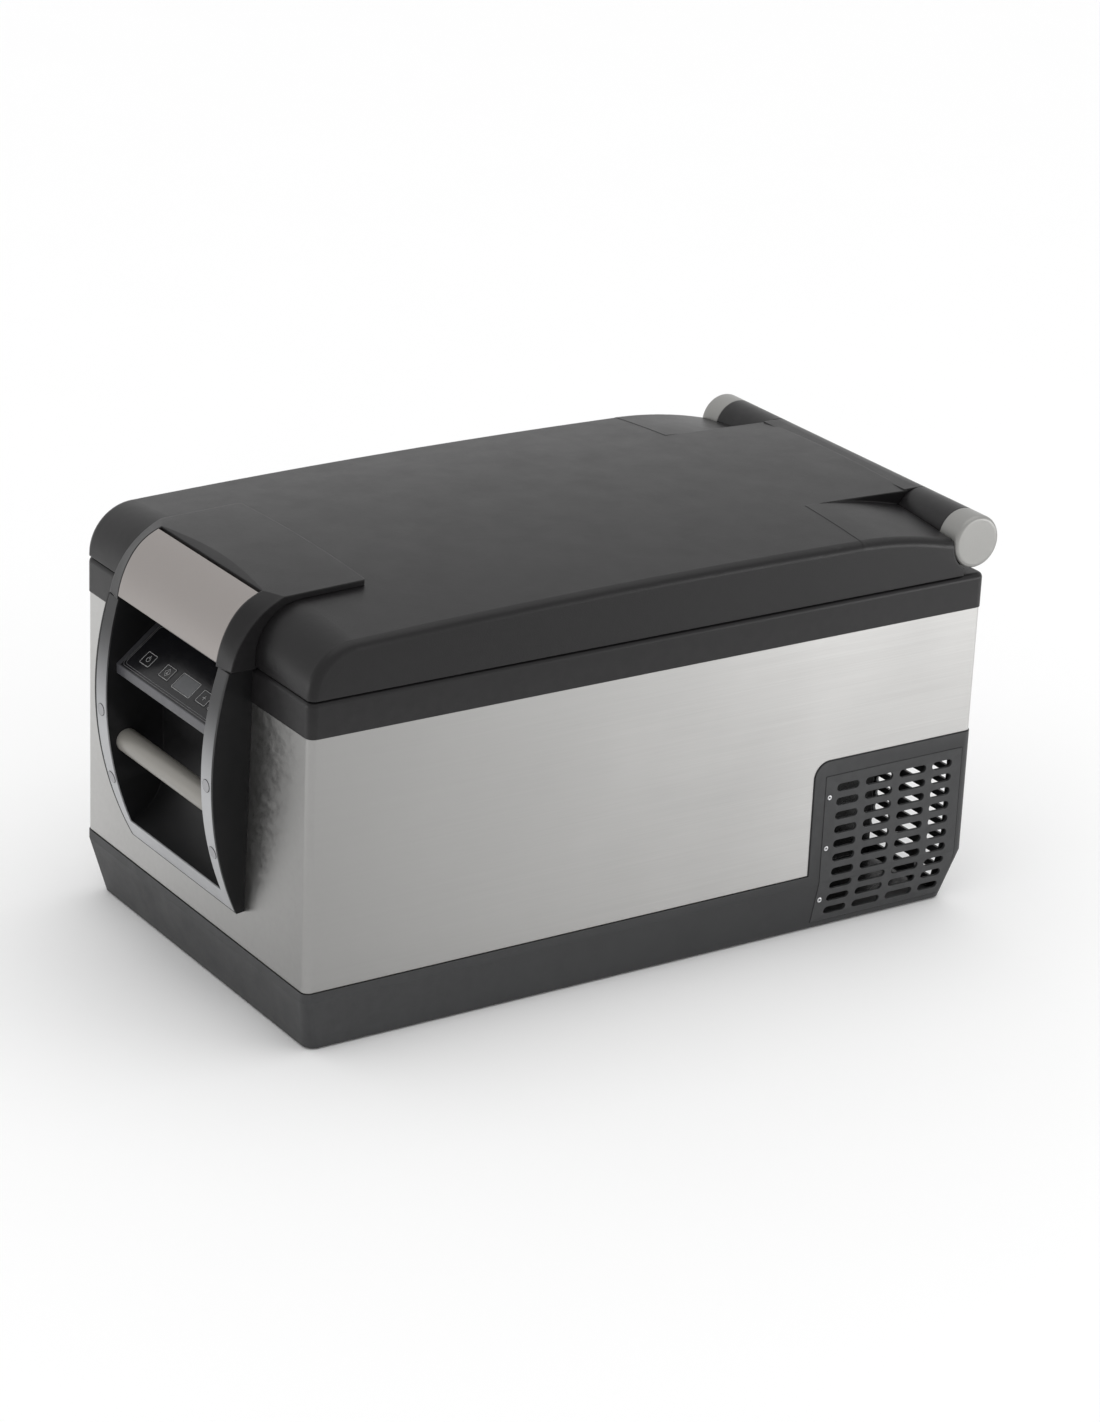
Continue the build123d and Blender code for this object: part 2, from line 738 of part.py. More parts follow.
# ---- lid ---------------------------------------------------------------------------------------
CROWN_RADIUS = 2200.0
ARCH_RADIUS = 11000.0
ARCH_Y = MID + 20.0
LID_NOSE = 52.0
LID_SHOULDER = 9.0
LID_REAR = REAR - 29.0
LID_WALL = 4.0
DIP_RADIUS = 520.0
DIP_Y = REAR - 166.0
DIP_LOW = 300.0
DIP_LIFT = 0.3
BARREL_HALF = 129.7
KNUCKLE_START = 131.0
HINGE_RELIEF = 31.0
PIN_RADIUS = 5.0
PIN_INNER = 96.0
PIN_OUTER = 200.0


def crown(peak_y, peak_z, arch):
    """A ring whose top is crowned across the lid and arched along it."""
    sag = CROWN_RADIUS - math.sqrt(CROWN_RADIUS**2 - WIDE**2)
    with BuildPart() as piece:
        with BuildSketch(Plane.XZ.offset(-peak_y)):
            with BuildLine():
                top = RadiusArc((-WIDE, peak_z - sag), (WIDE, peak_z - sag), CROWN_RADIUS)
                Polyline(top @ 1, (WIDE, DIP_LOW), (-WIDE, DIP_LOW), top @ 0)
            make_face()
        revolve(axis=Axis((0, peak_y, peak_z - arch), (1, 0, 0)))
    return piece.part


def hinge_rod(radius, x0, x1):
    return rod(radius, (x0, HINGE_Y, HINGE_Z), (x1, HINGE_Y, HINGE_Z))


dip_slope = (DIP_Y - ARCH_Y) / ARCH_RADIUS
dip_peak_y = DIP_Y - DIP_RADIUS * dip_slope
dip_peak_z = LID_PEAK - (DIP_Y - ARCH_Y) ** 2 / (2 * ARCH_RADIUS) + DIP_RADIUS * dip_slope**2 / 2 + DIP_LIFT


def round_shoulders(piece, top, radius):
    """Round the long upper edges of both flanks."""
    for side in (0, -1):
        flank = piece.faces().filter_by(Plane.YZ).sort_by(Axis.X)[side]
        fillet(flank.edges().filter_by(lambda edge: top(edge.center())), radius=radius)


def dip_form(inset):
    """The lower surface that the lid's rear corners fall to."""
    half = SKIN_HALF - inset
    with BuildPart() as piece:
        add(block(-half, half, DIP_Y, REAR, WRAP_TOP, TALL))
        add(crown(dip_peak_y, dip_peak_z - inset, DIP_RADIUS), mode=Mode.INTERSECT)
        middle = (DIP_Y + REAR) / 2
        round_shoulders(
            piece, lambda at: at.Z > LID_BOTTOM and abs(at.Y - middle) < LID_NOSE, LID_SHOULDER - inset
        )
    return piece.part


def lid_form(inset):
    """The lid's outside, pulled in by inset: crowned, with a round nose and dipped rear corners."""
    half = SKIN_HALF - inset
    with BuildPart() as piece:
        add(block(-half, half, FRONT - LEDGE + inset, LID_REAR - inset, WRAP_TOP, TALL))
        add(crown(ARCH_Y, LID_PEAK - inset, ARCH_RADIUS), mode=Mode.INTERSECT)
        front_top = piece.faces().sort_by(Axis.Y)[0].edges().sort_by(Axis.Z)[-1]
        fillet(front_top, radius=LID_NOSE - inset)
        rear_limit = LID_REAR - inset - LEDGE
        round_shoulders(
            piece, lambda at: at.Z > WRAP_TOP + LEDGE and at.Y < rear_limit, LID_SHOULDER - inset
        )
        corner = block(BARREL_HALF + LEDGE - inset, WIDE, DIP_Y, LID_REAR - inset, 0, TALL)
        dipped = dip_form(inset) & corner
        add((corner, mirror(corner, about=Plane.YZ)), mode=Mode.SUBTRACT)
        add((dipped, mirror(dipped, about=Plane.YZ)))
        add(block(-WIDE, WIDE, FRONT - TALL, REAR, WRAP_TOP - LEDGE, LID_BOTTOM), mode=Mode.SUBTRACT)
    return piece.part


lid_outside = lid_form(0.0)
lid_inside = lid_form(LID_WALL)

def outboard(solid, side):
    """The stretch of a solid that lies beyond the centre barrel on one side."""
    edge = BARREL_HALF + LEDGE
    return solid & block(min(side * edge, side * WIDE), max(side * edge, side * WIDE), FRONT, TALL, 0, TALL)


def hinge_lip(side):
    """The hollow wall that closes the lid in front of one knuckle."""
    ring = hinge_rod(HINGE_RELIEF + LID_WALL, -WIDE, WIDE) - hinge_rod(HINGE_RELIEF, -WIDE, WIDE)
    return outboard(ring & lid_outside, side)


with BuildPart() as lid_shell:
    add(lid_outside)
    add(lid_inside, mode=Mode.SUBTRACT)
    for side in (-1, 1):
        add(outboard(hinge_rod(HINGE_RELIEF, -WIDE, WIDE), side), mode=Mode.SUBTRACT)
        add(hinge_lip(side))
    add(
        block(
            -BARREL_HALF,
            BARREL_HALF,
            LID_REAR - LID_WALL,
            HINGE_Y,
            HINGE_Z - HINGE_RADIUS / 2,
            HINGE_Z + HINGE_RADIUS,
        )
    )
    add(hinge_rod(HINGE_RADIUS, -BARREL_HALF, BARREL_HALF))
    for side in (-1, 1):
        add(hinge_rod(PIN_RADIUS + RUN_GAP, side * (PIN_INNER - 1.0), side * BARREL_HALF), mode=Mode.SUBTRACT)
save(lid_shell.part, "lid_shell")

# ---- lid inner pieces --------------------------------------------------------------------------
LID_PLATE = 3.0
SEAL_WIDE = 10.0
SEAL_INSET = 4.0
lid_core = lid_form(LID_WALL + FIT_GAP)
with BuildPart() as lid_inner_panel:
    add(lid_core)
    add(block(-WIDE, WIDE, FRONT, REAR, LID_BOTTOM + LID_PLATE, TALL), mode=Mode.SUBTRACT)
save(lid_inner_panel.part, "lid_inner_panel")

with BuildPart() as lid_foam:
    add(lid_core)
    add(block(-WIDE, WIDE, FRONT, REAR, 0, LID_BOTTOM + LID_PLATE), mode=Mode.SUBTRACT)
    add(hinge_rod(HINGE_RELIEF + LID_WALL + FIT_GAP, -WIDE, WIDE), mode=Mode.SUBTRACT)
    add(block(-WIDE, WIDE, LID_REAR - 2 * LID_WALL - FIT_GAP, REAR, 0, TALL), mode=Mode.SUBTRACT)
save(lid_foam.part, "lid_foam")

with BuildPart() as lid_gasket:
    add(well_block(SEAL_INSET, DECK_TOP + 2 * FIT_GAP, LID_BOTTOM))
    add(well_block(SEAL_INSET + SEAL_WIDE, DECK_TOP, TALL), mode=Mode.SUBTRACT)
    fillet(lid_gasket.edges().group_by(Axis.Z)[0], radius=SEAL_WIDE / 3)
save(lid_gasket.part, "lid_gasket")

# ---- latch housing, lever, pin, spring, tongue and keeper --------------------------------------
HOUSING_BOTTOM = CONSOLE_TOP + 0.7
HOUSING_RISE = 6.5
HOUSING_HALF = 128.5
HOUSING_REAR = FRONT + 122.5
HOUSING_CORNER = 4.0
LEVER_EDGE = 106.0
LEVER_HALF = 104.0
LEVER_THICK = 4.0
LEVER_TOP_Y = FRONT + 17.7
LEVER_BARREL = 3.5
LEVER_BARREL_Z = 444.0
LEVER_LIP = 1.0
LEVER_LOW = 384.5
LEVER_SIDE_GAP = 0.5
LATCH_PIN = 1.5
SPRING_WIRE = 0.5
SPRING_HALF = 11.0
SPRING_ROOM = 3.0
SPRING_PITCH = 1.8
TONGUE_HALF = 22.0
KEEPER_HALF = 30.0
BAY_END = LEVER_TOP_Y + LEVER_SIDE_GAP
lever_centre_y = LEVER_TOP_Y - LEVER_BARREL

# The front face's curve, as reach ahead of the body's face and height: down the middle, then at the edge.
middle_curve = ((32.4, HOUSING_BOTTOM), (21.0, 418.0), (3.5, 440.0), (-17.7, 451.3), (-52.0, 458.0))
edge_curve = ((28.8, HOUSING_BOTTOM), (14.5, 415.5), (-1.3, 433.5), (-23.5, 448.0), (-62.0, 457.0))


def nose_sketch(curve, x, inset=0.0):
    """The housing's side outline in the YZ plane at x, behind its curved front."""
    points = []
    for reach, height in curve:
        points.append((FRONT - reach + inset, height))
    with BuildSketch(Plane.YZ.offset(x)) as outline:
        with BuildLine():
            front_curve = Spline(*points)
            Polyline(
                front_curve @ 1,
                (HOUSING_REAR, points[-1][1]),
                (HOUSING_REAR, HOUSING_BOTTOM),
                front_curve @ 0,
            )
        make_face()
    return outline.sketch


def nose_slab(half_width, inset=0.0):
    """The middle outline pushed out across X."""
    outline = nose_sketch(middle_curve, -half_width, inset)
    with BuildPart() as piece:
        extrude(outline, amount=2 * half_width, dir=(1, 0, 0))
    return piece.part


def wing(side):
    """One bevelled side of the housing, from the lever's edge to the flank."""
    with BuildPart() as piece:
        add(nose_sketch(middle_curve, side * LEVER_EDGE))
        add(nose_sketch(edge_curve, side * HOUSING_HALF))
        loft(ruled=True)
    return piece.part


raised_crown = crown(ARCH_Y, LID_PEAK + HOUSING_RISE, ARCH_RADIUS)
lever_bay = block(-LEVER_EDGE + 1.5, LEVER_EDGE - 1.5, FRONT - TALL, BAY_END, 0, TALL)
latch_axis = (lever_centre_y, LEVER_BARREL_Z)


def latch_rod(radius, x0, x1):
    return rod(radius, (x0, *latch_axis), (x1, *latch_axis))


with BuildPart() as latch_housing:
    add(nose_slab(LEVER_EDGE))
    add(wing(-1))
    add(wing(1))
    add(raised_crown, mode=Mode.INTERSECT)
    rear_corners = latch_housing.edges().filter_by(Axis.Z).group_by(Axis.Y)[-1]
    fillet(rear_corners, radius=HOUSING_CORNER)
    add(lid_outside, mode=Mode.SUBTRACT)
    add(block(-WIDE, WIDE, FRONT, REAR, 0, LID_BOTTOM), mode=Mode.SUBTRACT)
    add(lever_bay, mode=Mode.SUBTRACT)
    add(latch_rod(LATCH_PIN, -LEVER_EDGE - 2 * WALL, LEVER_EDGE + 2 * WALL), mode=Mode.SUBTRACT)
save(latch_housing.part, "latch_housing")

with BuildPart() as latch_lever:
    add(nose_slab(LEVER_HALF))
    add(nose_slab(LEVER_HALF + WALL, LEVER_THICK), mode=Mode.SUBTRACT)
    add(
        block(-LEVER_HALF, LEVER_HALF, FRONT - TALL, lever_centre_y, LEVER_LOW, TALL),
        mode=Mode.INTERSECT,
    )
    add(latch_rod(LEVER_BARREL, -LEVER_HALF, LEVER_HALF))
    add(latch_rod(LATCH_PIN + RUN_GAP, -LEVER_HALF, LEVER_HALF), mode=Mode.SUBTRACT)
    spring_room = block(
        -SPRING_HALF,
        SPRING_HALF,
        lever_centre_y - SPRING_ROOM,
        LEVER_TOP_Y + 1.0,
        LEVER_BARREL_Z - LEVER_BARREL - 1.0,
        LEVER_BARREL_Z + SPRING_ROOM,
    )
    add(spring_room, mode=Mode.SUBTRACT)
    low_front = latch_lever.edges().filter_by(Axis.X).group_by(Axis.Z)[0].sort_by(Axis.Y)[0]
    chamfer(low_front, length=LEVER_LIP)
save(latch_lever.part, "latch_lever")

with BuildPart() as latch_pin:
    add(latch_rod(LATCH_PIN, -LEVER_EDGE - 2 * WALL, LEVER_EDGE + 2 * WALL))
save(latch_pin.part, "latch_pin")

coil_radius = LATCH_PIN + SPRING_WIRE + FIT_GAP / 2
with BuildPart() as latch_spring:
    with BuildLine() as coil:
        Helix(
            pitch=SPRING_PITCH,
            height=2 * SPRING_HALF - 4.0,
            radius=coil_radius,
            center=(-SPRING_HALF + 2.0, *latch_axis),
            direction=(1, 0, 0),
        )
    with BuildSketch(Plane(origin=coil.wires()[0] @ 0, z_dir=coil.wires()[0] % 0)):
        Circle(SPRING_WIRE)
    sweep(path=coil.wires()[0])
save(latch_spring.part, "latch_spring")

TONGUE_BACK = FRONT - 9.0
TONGUE_THICK = 3.0
TONGUE_LOW = CONSOLE_TOP + 1.5
TONGUE_HIGH = 402.0
with BuildPart() as latch_tongue:
    add(block(-TONGUE_HALF, TONGUE_HALF, TONGUE_BACK - TONGUE_THICK, TONGUE_BACK, TONGUE_LOW, TONGUE_HIGH))
    add(
        block(
            -TONGUE_HALF,
            TONGUE_HALF,
            FRONT - CONSOLE_REACH,
            TONGUE_BACK,
            TONGUE_HIGH - TONGUE_THICK,
            TONGUE_HIGH,
        )
    )
    add(nose_slab(LEVER_HALF + WALL, LEVER_THICK), mode=Mode.INTERSECT)
    add(latch_lever.part, mode=Mode.SUBTRACT)
save(latch_tongue.part, "latch_tongue")

KEEPER_BACK = FRONT - 4.5
KEEPER_THICK = 3.0
KEEPER_HIGH = 393.0
with BuildPart() as latch_keeper:
    add(block(-KEEPER_HALF, KEEPER_HALF, KEEPER_BACK - KEEPER_THICK, KEEPER_BACK, CONSOLE_TOP, KEEPER_HIGH))
    top_edges = latch_keeper.edges().filter_by(Axis.Y).group_by(Axis.Z)[-1]
    fillet(top_edges, radius=WALL)
save(latch_keeper.part, "latch_keeper")

# ---- hinge: knuckles, pins and end caps --------------------------------------------------------
KNUCKLE_END = 206.0
CAP_START = 206.4
CAP_END = SKIN_HALF
CAP_ROUND = 4.5
PEDESTAL_FRONT = REAR - 24.0
for side, name in ((-1, "left"), (1, "right")):
    with BuildPart() as hinge_knuckle:
        add(hinge_rod(HINGE_RADIUS, side * KNUCKLE_START, side * KNUCKLE_END))
        add(
            block(
                min(side * (KNUCKLE_START + WALL), side * (KNUCKLE_END - WALL)),
                max(side * (KNUCKLE_START + WALL), side * (KNUCKLE_END - WALL)),
                PEDESTAL_FRONT,
                REAR - 2 * WALL,
                RIM_TOP,
                HINGE_Z,
            )
        )
        add(hinge_rod(PIN_RADIUS, side * KNUCKLE_START, side * (PIN_OUTER)), mode=Mode.SUBTRACT)
    save(hinge_knuckle.part, f"hinge_knuckle_{name}")
    with BuildPart() as hinge_cap:
        add(hinge_rod(HINGE_RADIUS, side * CAP_START, side * CAP_END))
        outer_face = hinge_cap.faces().sort_by(Axis.X)[-1 if side > 0 else 0]
        fillet(outer_face.edges(), radius=CAP_ROUND)
    save(hinge_cap.part, f"hinge_cap_{name}")

with BuildPart() as hinge_pins:
    for side in (-1, 1):
        add(hinge_rod(PIN_RADIUS, side * PIN_INNER, side * PIN_OUTER))
save(hinge_pins.part, "hinge_pins")

# ---- cooling unit in the compressor bay --------------------------------------------------------
FLOOR = FOOT_HEIGHT + WALL
TRAY_THICK = 2.0
TRAY_HALF = 185.0
TRAY_END = 25.0
GUIDE_X = 97.0
GUIDE_REAR = REAR - 19.5
GUIDE_TOP = 130.0
COMP_X = 20.0
COMP_Y = REAR - 115.0
COMP_RADIUS = 58.0
COMP_BOTTOM = 26.0
COMP_HEIGHT = 128.0
MOUNT_REACH = 62.0
MOUNT_RADIUS = 9.0
LUG_RADIUS = 12.0
LUG_THICK = 3.0
tray_top = FLOOR + TRAY_THICK

with BuildPart() as mounting_tray:
    with BuildSketch(Plane.XY.offset(FLOOR)):
        with Locations((0, (BAY_FRONT + REAR) / 2)):
            RectangleRounded(2 * TRAY_HALF, REAR - BAY_FRONT - 2 * TRAY_END, MOUNT_RADIUS)
    extrude(amount=TRAY_THICK)
    add(block(GUIDE_X, GUIDE_X + TRAY_THICK, BAY_FRONT + TRAY_END, GUIDE_REAR, FLOOR, GUIDE_TOP))
save(mounting_tray.part, "mounting_tray")

mount_spots = GridLocations(2 * MOUNT_REACH, MOUNT_REACH, 2, 2).locations
with BuildPart() as compressor_mounts:
    with BuildSketch(Plane.XY.offset(tray_top)):
        with Locations((COMP_X, COMP_Y)):
            with Locations(mount_spots):
                Circle(MOUNT_RADIUS)
    extrude(amount=COMP_BOTTOM - tray_top)
    fillet(compressor_mounts.edges(), radius=1.5)
save(compressor_mounts.part, "compressor_mounts")

with BuildPart() as compressor:
    with BuildSketch(Plane.XZ.offset(-COMP_Y)):
        with BuildLine():
            low = COMP_BOTTOM + LUG_THICK
            high = COMP_BOTTOM + COMP_HEIGHT
            seam = (low + high) / 2
            dome = COMP_RADIUS * 0.55
            base_line = Line((COMP_X, low), (COMP_X + COMP_RADIUS - dome, low))
            lower = RadiusArc(base_line @ 1, (COMP_X + COMP_RADIUS, low + dome), -dome)
            to_seam = Line(lower @ 1, (COMP_X + COMP_RADIUS, seam - 3.0))
            lip = Polyline(
                to_seam @ 1,
                (COMP_X + COMP_RADIUS + 4.0, seam - 3.0),
                (COMP_X + COMP_RADIUS + 4.0, seam + 3.0),
                (COMP_X + COMP_RADIUS, seam + 3.0),
                (COMP_X + COMP_RADIUS, high - dome),
            )
            upper = RadiusArc(lip @ 1, (COMP_X + COMP_RADIUS - dome, high), -dome)
            Polyline(upper @ 1, (COMP_X, high), (COMP_X, low))
        make_face()
    revolve(axis=Axis((COMP_X, COMP_Y, 0), (0, 0, 1)))
    with BuildSketch(Plane.XY.offset(COMP_BOTTOM)):
        with Locations((COMP_X, COMP_Y)):
            RectangleRounded(2 * MOUNT_REACH + 2 * LUG_RADIUS, MOUNT_REACH + 2 * LUG_RADIUS, LUG_RADIUS - 1.0)
    extrude(amount=LUG_THICK)
save(compressor.part, "compressor")

CONDENSER_X = -176.0
CONDENSER_DEEP = 34.0
CONDENSER_LOW = 20.0
CONDENSER_HIGH = 162.0
CONDENSER_FRONT = BAY_FRONT + 22.0
CONDENSER_REAR = REAR - 42.0
FIN_PITCH = 6.0
FIN_GAP = 4.6
HEADER = 5.0
fin_count = int((CONDENSER_REAR - CONDENSER_FRONT - 2 * HEADER) / FIN_PITCH)
with BuildPart() as condenser_core:
    with BuildSketch(Plane.XY.offset(CONDENSER_LOW)):
        with Locations((CONDENSER_X, (CONDENSER_FRONT + CONDENSER_REAR) / 2)):
            Rectangle(CONDENSER_DEEP, CONDENSER_REAR - CONDENSER_FRONT)
    extrude(amount=CONDENSER_HIGH - CONDENSER_LOW)
    with BuildSketch(Plane.XY.offset(CONDENSER_LOW + HEADER)):
        for fin in range(fin_count):
            middle = CONDENSER_FRONT + HEADER + FIN_PITCH * (fin + 0.5)
            with Locations((CONDENSER_X + 2.0, middle), (CONDENSER_X - CONDENSER_DEEP / 2, middle)):
                Rectangle(CONDENSER_DEEP * 0.45, FIN_GAP)
    extrude(amount=CONDENSER_HIGH - CONDENSER_LOW - 2 * HEADER, mode=Mode.SUBTRACT)
save(condenser_core.part, "condenser_core")

FAN_X = -146.0
FAN_Y = (CONDENSER_FRONT + CONDENSER_REAR) / 2
FAN_Z = 98.0
FAN_SIZE = 124.0
FAN_DEEP = 25.0
FAN_BORE = 57.0
FAN_HUB = 19.0
FAN_AXLE = 3.0
BLADE_TIP = 54.0
BLADE_COUNT = 7
BLADE_THICK = 2.0
BLADE_TWIST = 32.0
fan_plane = Plane(origin=(FAN_X, FAN_Y, FAN_Z), x_dir=(0, 1, 0), z_dir=(1, 0, 0))
with BuildPart() as fan_shroud:
    with BuildSketch(fan_plane):
        RectangleRounded(FAN_SIZE, FAN_SIZE, FAN_DEEP / 4)
        Circle(FAN_BORE, mode=Mode.SUBTRACT)
    extrude(amount=FAN_DEEP)
    with BuildSketch(fan_plane):
        for turn in (45, 135):
            with Locations(Location((0, 0), turn)):
                Rectangle(2 * FAN_BORE + 1.0, WALL)
        Circle(FAN_HUB - 1.0)
        Circle(FAN_AXLE, mode=Mode.SUBTRACT)
    extrude(amount=SKIRT)
save(fan_shroud.part, "fan_shroud")

with BuildPart() as fan_motor:
    with BuildSketch(fan_plane):
        Circle(FAN_AXLE)
    extrude(amount=FAN_DEEP - WALL)
save(fan_motor.part, "fan_motor")

with BuildPart() as fan_rotor:
    with BuildSketch(fan_plane.offset(SKIRT + 1.0)):
        Circle(FAN_HUB)
    extrude(amount=FAN_DEEP - SKIRT - 2.0)
    for blade in range(BLADE_COUNT):
        spoke = fan_plane.rotated((0, 0, 360 / BLADE_COUNT * blade))
        blade_plane = Plane(origin=spoke.origin, x_dir=spoke.z_dir, z_dir=spoke.x_dir)
        with BuildSketch(blade_plane.offset(FAN_HUB - 3.0)):
            with Locations(Location((FAN_DEEP / 2, 0), BLADE_TWIST)):
                SlotOverall(FAN_DEEP - 3.0, BLADE_THICK)
        extrude(amount=BLADE_TIP - FAN_HUB + 3.0)
    add(
        rod(
            BLADE_TIP,
            (FAN_X + SKIRT + 1.0, FAN_Y, FAN_Z),
            (FAN_X + FAN_DEEP - 1.0, FAN_Y, FAN_Z),
        ),
        mode=Mode.INTERSECT,
    )
    with BuildSketch(fan_plane):
        Circle(FAN_AXLE + RUN_GAP)
    extrude(amount=FAN_DEEP, mode=Mode.SUBTRACT)
save(fan_rotor.part, "fan_rotor")

MODULE_X = 150.0
MODULE_WIDE = 90.0
MODULE_DEEP = 46.0
MODULE_LOW = 60.0
MODULE_HIGH = 170.0
RIB_PITCH = 9.0
with BuildPart() as power_module:
    with BuildSketch(Plane.XY.offset(MODULE_LOW)):
        with Locations((MODULE_X, BAY_FRONT + FIT_GAP + MODULE_DEEP / 2)):
            Rectangle(MODULE_WIDE, MODULE_DEEP)
        for rib in range(9):
            left = MODULE_X - MODULE_WIDE / 2 + RIB_PITCH * (rib + 1)
            with Locations((left, BAY_FRONT + MODULE_DEEP)):
                Rectangle(RIB_PITCH / 2, MODULE_DEEP / 2, mode=Mode.SUBTRACT)
    extrude(amount=MODULE_HIGH - MODULE_LOW)
save(power_module.part, "power_module")

DRIER_RADIUS = 12.0
DRIER_X = -70.0
DRIER_Y = BAY_FRONT + 24.0
with BuildPart() as filter_drier:
    with BuildSketch(Plane.XY.offset(50.0)):
        with Locations((DRIER_X, DRIER_Y)):
            Circle(DRIER_RADIUS)
    extrude(amount=100.0)
    fillet(filter_drier.edges(), radius=DRIER_RADIUS / 2)
save(filter_drier.part, "filter_drier")

PIPE = 4.0
PIPE_BEND = 14.0
pipe_top = COMP_BOTTOM + COMP_HEIGHT
pipe_high = pipe_top + 2 * PIPE_BEND
with BuildPart() as refrigerant_lines:
    discharge = (
        (COMP_X - 20.0, COMP_Y, pipe_top),
        (COMP_X - 20.0, COMP_Y, pipe_high),
        (CONDENSER_X, COMP_Y, pipe_high),
        (CONDENSER_X, COMP_Y, CONDENSER_HIGH),
    )
    suction = (
        (COMP_X + 20.0, COMP_Y, pipe_top),
        (COMP_X + 20.0, COMP_Y, pipe_high),
        (COMP_X + 20.0, BAY_FRONT + 2 * PIPE, pipe_high),
    )
    for route in (discharge, suction):
        add(tube_run(PIPE, route, PIPE_BEND))
save(refrigerant_lines.part, "refrigerant_lines")

EVAPORATOR_LOW = 90.0
EVAPORATOR_HIGH = 205.0
EVAPORATOR_THICK = 1.6
with BuildPart() as evaporator_wrap:
    add(cabin(LINER_WALL + EVAPORATOR_THICK, TALL))
    add(cabin(LINER_WALL, TALL), mode=Mode.SUBTRACT)
    add(block(-WIDE, WIDE, FRONT, REAR, EVAPORATOR_LOW, EVAPORATOR_HIGH), mode=Mode.INTERSECT)
save(evaporator_wrap.part, "evaporator_wrap")

# ---- power inlets on the rear wall -------------------------------------------------------------
SOCKET_PLATE = 3.0
DC_X = SOCKET_X + 28.0
AC_X = SOCKET_X - 22.0
DC_RADIUS = 12.5
DC_BORE = 10.5
DC_DEEP = 34.0
AC_WIDE = 30.0
AC_TALL = 22.0
AC_DEEP = 24.0
plate_face = REAR + LEDGE - 1.5
with BuildPart() as socket_panel:
    add(
        block(
            SOCKET_X - SOCKET_WIDTH / 2 + FIT_GAP,
            SOCKET_X + SOCKET_WIDTH / 2 - FIT_GAP,
            plate_face - SOCKET_PLATE,
            plate_face,
            SOCKET_Z - SOCKET_HEIGHT / 2 + FIT_GAP,
            SOCKET_Z + SOCKET_HEIGHT / 2 - FIT_GAP,
        )
    )
    add(rod(DC_RADIUS, (DC_X, REAR - DC_DEEP, SOCKET_Z), (DC_X, REAR + WALL, SOCKET_Z)), mode=Mode.SUBTRACT)
    add(
        block(
            AC_X - AC_WIDE / 2,
            AC_X + AC_WIDE / 2,
            REAR - AC_DEEP,
            REAR + WALL,
            SOCKET_Z - AC_TALL / 2,
            SOCKET_Z + AC_TALL / 2,
        ),
        mode=Mode.SUBTRACT,
    )
save(socket_panel.part, "socket_panel")

with BuildPart() as dc_socket:
    add(rod(DC_RADIUS, (DC_X, REAR - DC_DEEP, SOCKET_Z), (DC_X, plate_face, SOCKET_Z)))
    add(
        rod(DC_BORE, (DC_X, REAR - DC_DEEP + SKIRT, SOCKET_Z), (DC_X, REAR + WALL, SOCKET_Z)),
        mode=Mode.SUBTRACT,
    )
    add(rod(2.0, (DC_X, REAR - DC_DEEP, SOCKET_Z), (DC_X, REAR - DC_DEEP / 2, SOCKET_Z)))
save(dc_socket.part, "dc_socket")

with BuildPart() as ac_inlet:
    add(
        block(
            AC_X - AC_WIDE / 2,
            AC_X + AC_WIDE / 2,
            REAR - AC_DEEP,
            plate_face,
            SOCKET_Z - AC_TALL / 2,
            SOCKET_Z + AC_TALL / 2,
        )
    )
    add(
        block(
            AC_X - AC_WIDE / 2 + SKIRT,
            AC_X + AC_WIDE / 2 - SKIRT,
            REAR - AC_DEEP + SKIRT,
            REAR + WALL,
            SOCKET_Z - AC_TALL / 2 + SKIRT,
            SOCKET_Z + AC_TALL / 2 - SKIRT,
        ),
        mode=Mode.SUBTRACT,
    )
    for pin_x in (-7.0, 0.0, 7.0):
        add(
            block(
                AC_X + pin_x - 1.0,
                AC_X + pin_x + 1.0,
                REAR - AC_DEEP,
                REAR - AC_DEEP / 2,
                SOCKET_Z - 2.5,
                SOCKET_Z + 2.5,
            )
        )
save(ac_inlet.part, "ac_inlet")

FLAP_HALF = 16.0
FLAP_THICK = 2.5
FLAP_FACE = REAR + LEDGE + FIT_GAP
FLAP_PIN_Z = SOCKET_Z + 19.0
FLAP_PIN_Y = FLAP_FACE + 2.5
FLAP_PIN = 1.2
FLAP_BARREL = 2.5

def flap_rod(radius, inset):
    """A rod on the flap's hinge line, short of each end by inset."""
    reach = FLAP_HALF - inset
    return rod(radius, (DC_X - reach, FLAP_PIN_Y, FLAP_PIN_Z), (DC_X + reach, FLAP_PIN_Y, FLAP_PIN_Z))


with BuildPart() as socket_cover:
    add(
        block(
            DC_X - FLAP_HALF,
            DC_X + FLAP_HALF,
            FLAP_FACE,
            FLAP_FACE + FLAP_THICK,
            SOCKET_Z - FLAP_HALF,
            FLAP_PIN_Z,
        )
    )
    fillet(socket_cover.edges().filter_by(Axis.Y).group_by(Axis.Z)[0], radius=WALL)
    add(flap_rod(FLAP_BARREL, WALL))
    ear_low = SOCKET_Z + FLAP_HALF - FIT_GAP
    for ear_start in (DC_X - FLAP_HALF, DC_X + FLAP_HALF - WALL):
        add(block(ear_start, ear_start + WALL, FRONT, TALL, ear_low, TALL), mode=Mode.SUBTRACT)
    add(flap_rod(FLAP_PIN + RUN_GAP, 0.0), mode=Mode.SUBTRACT)
save(socket_cover.part, "socket_cover")

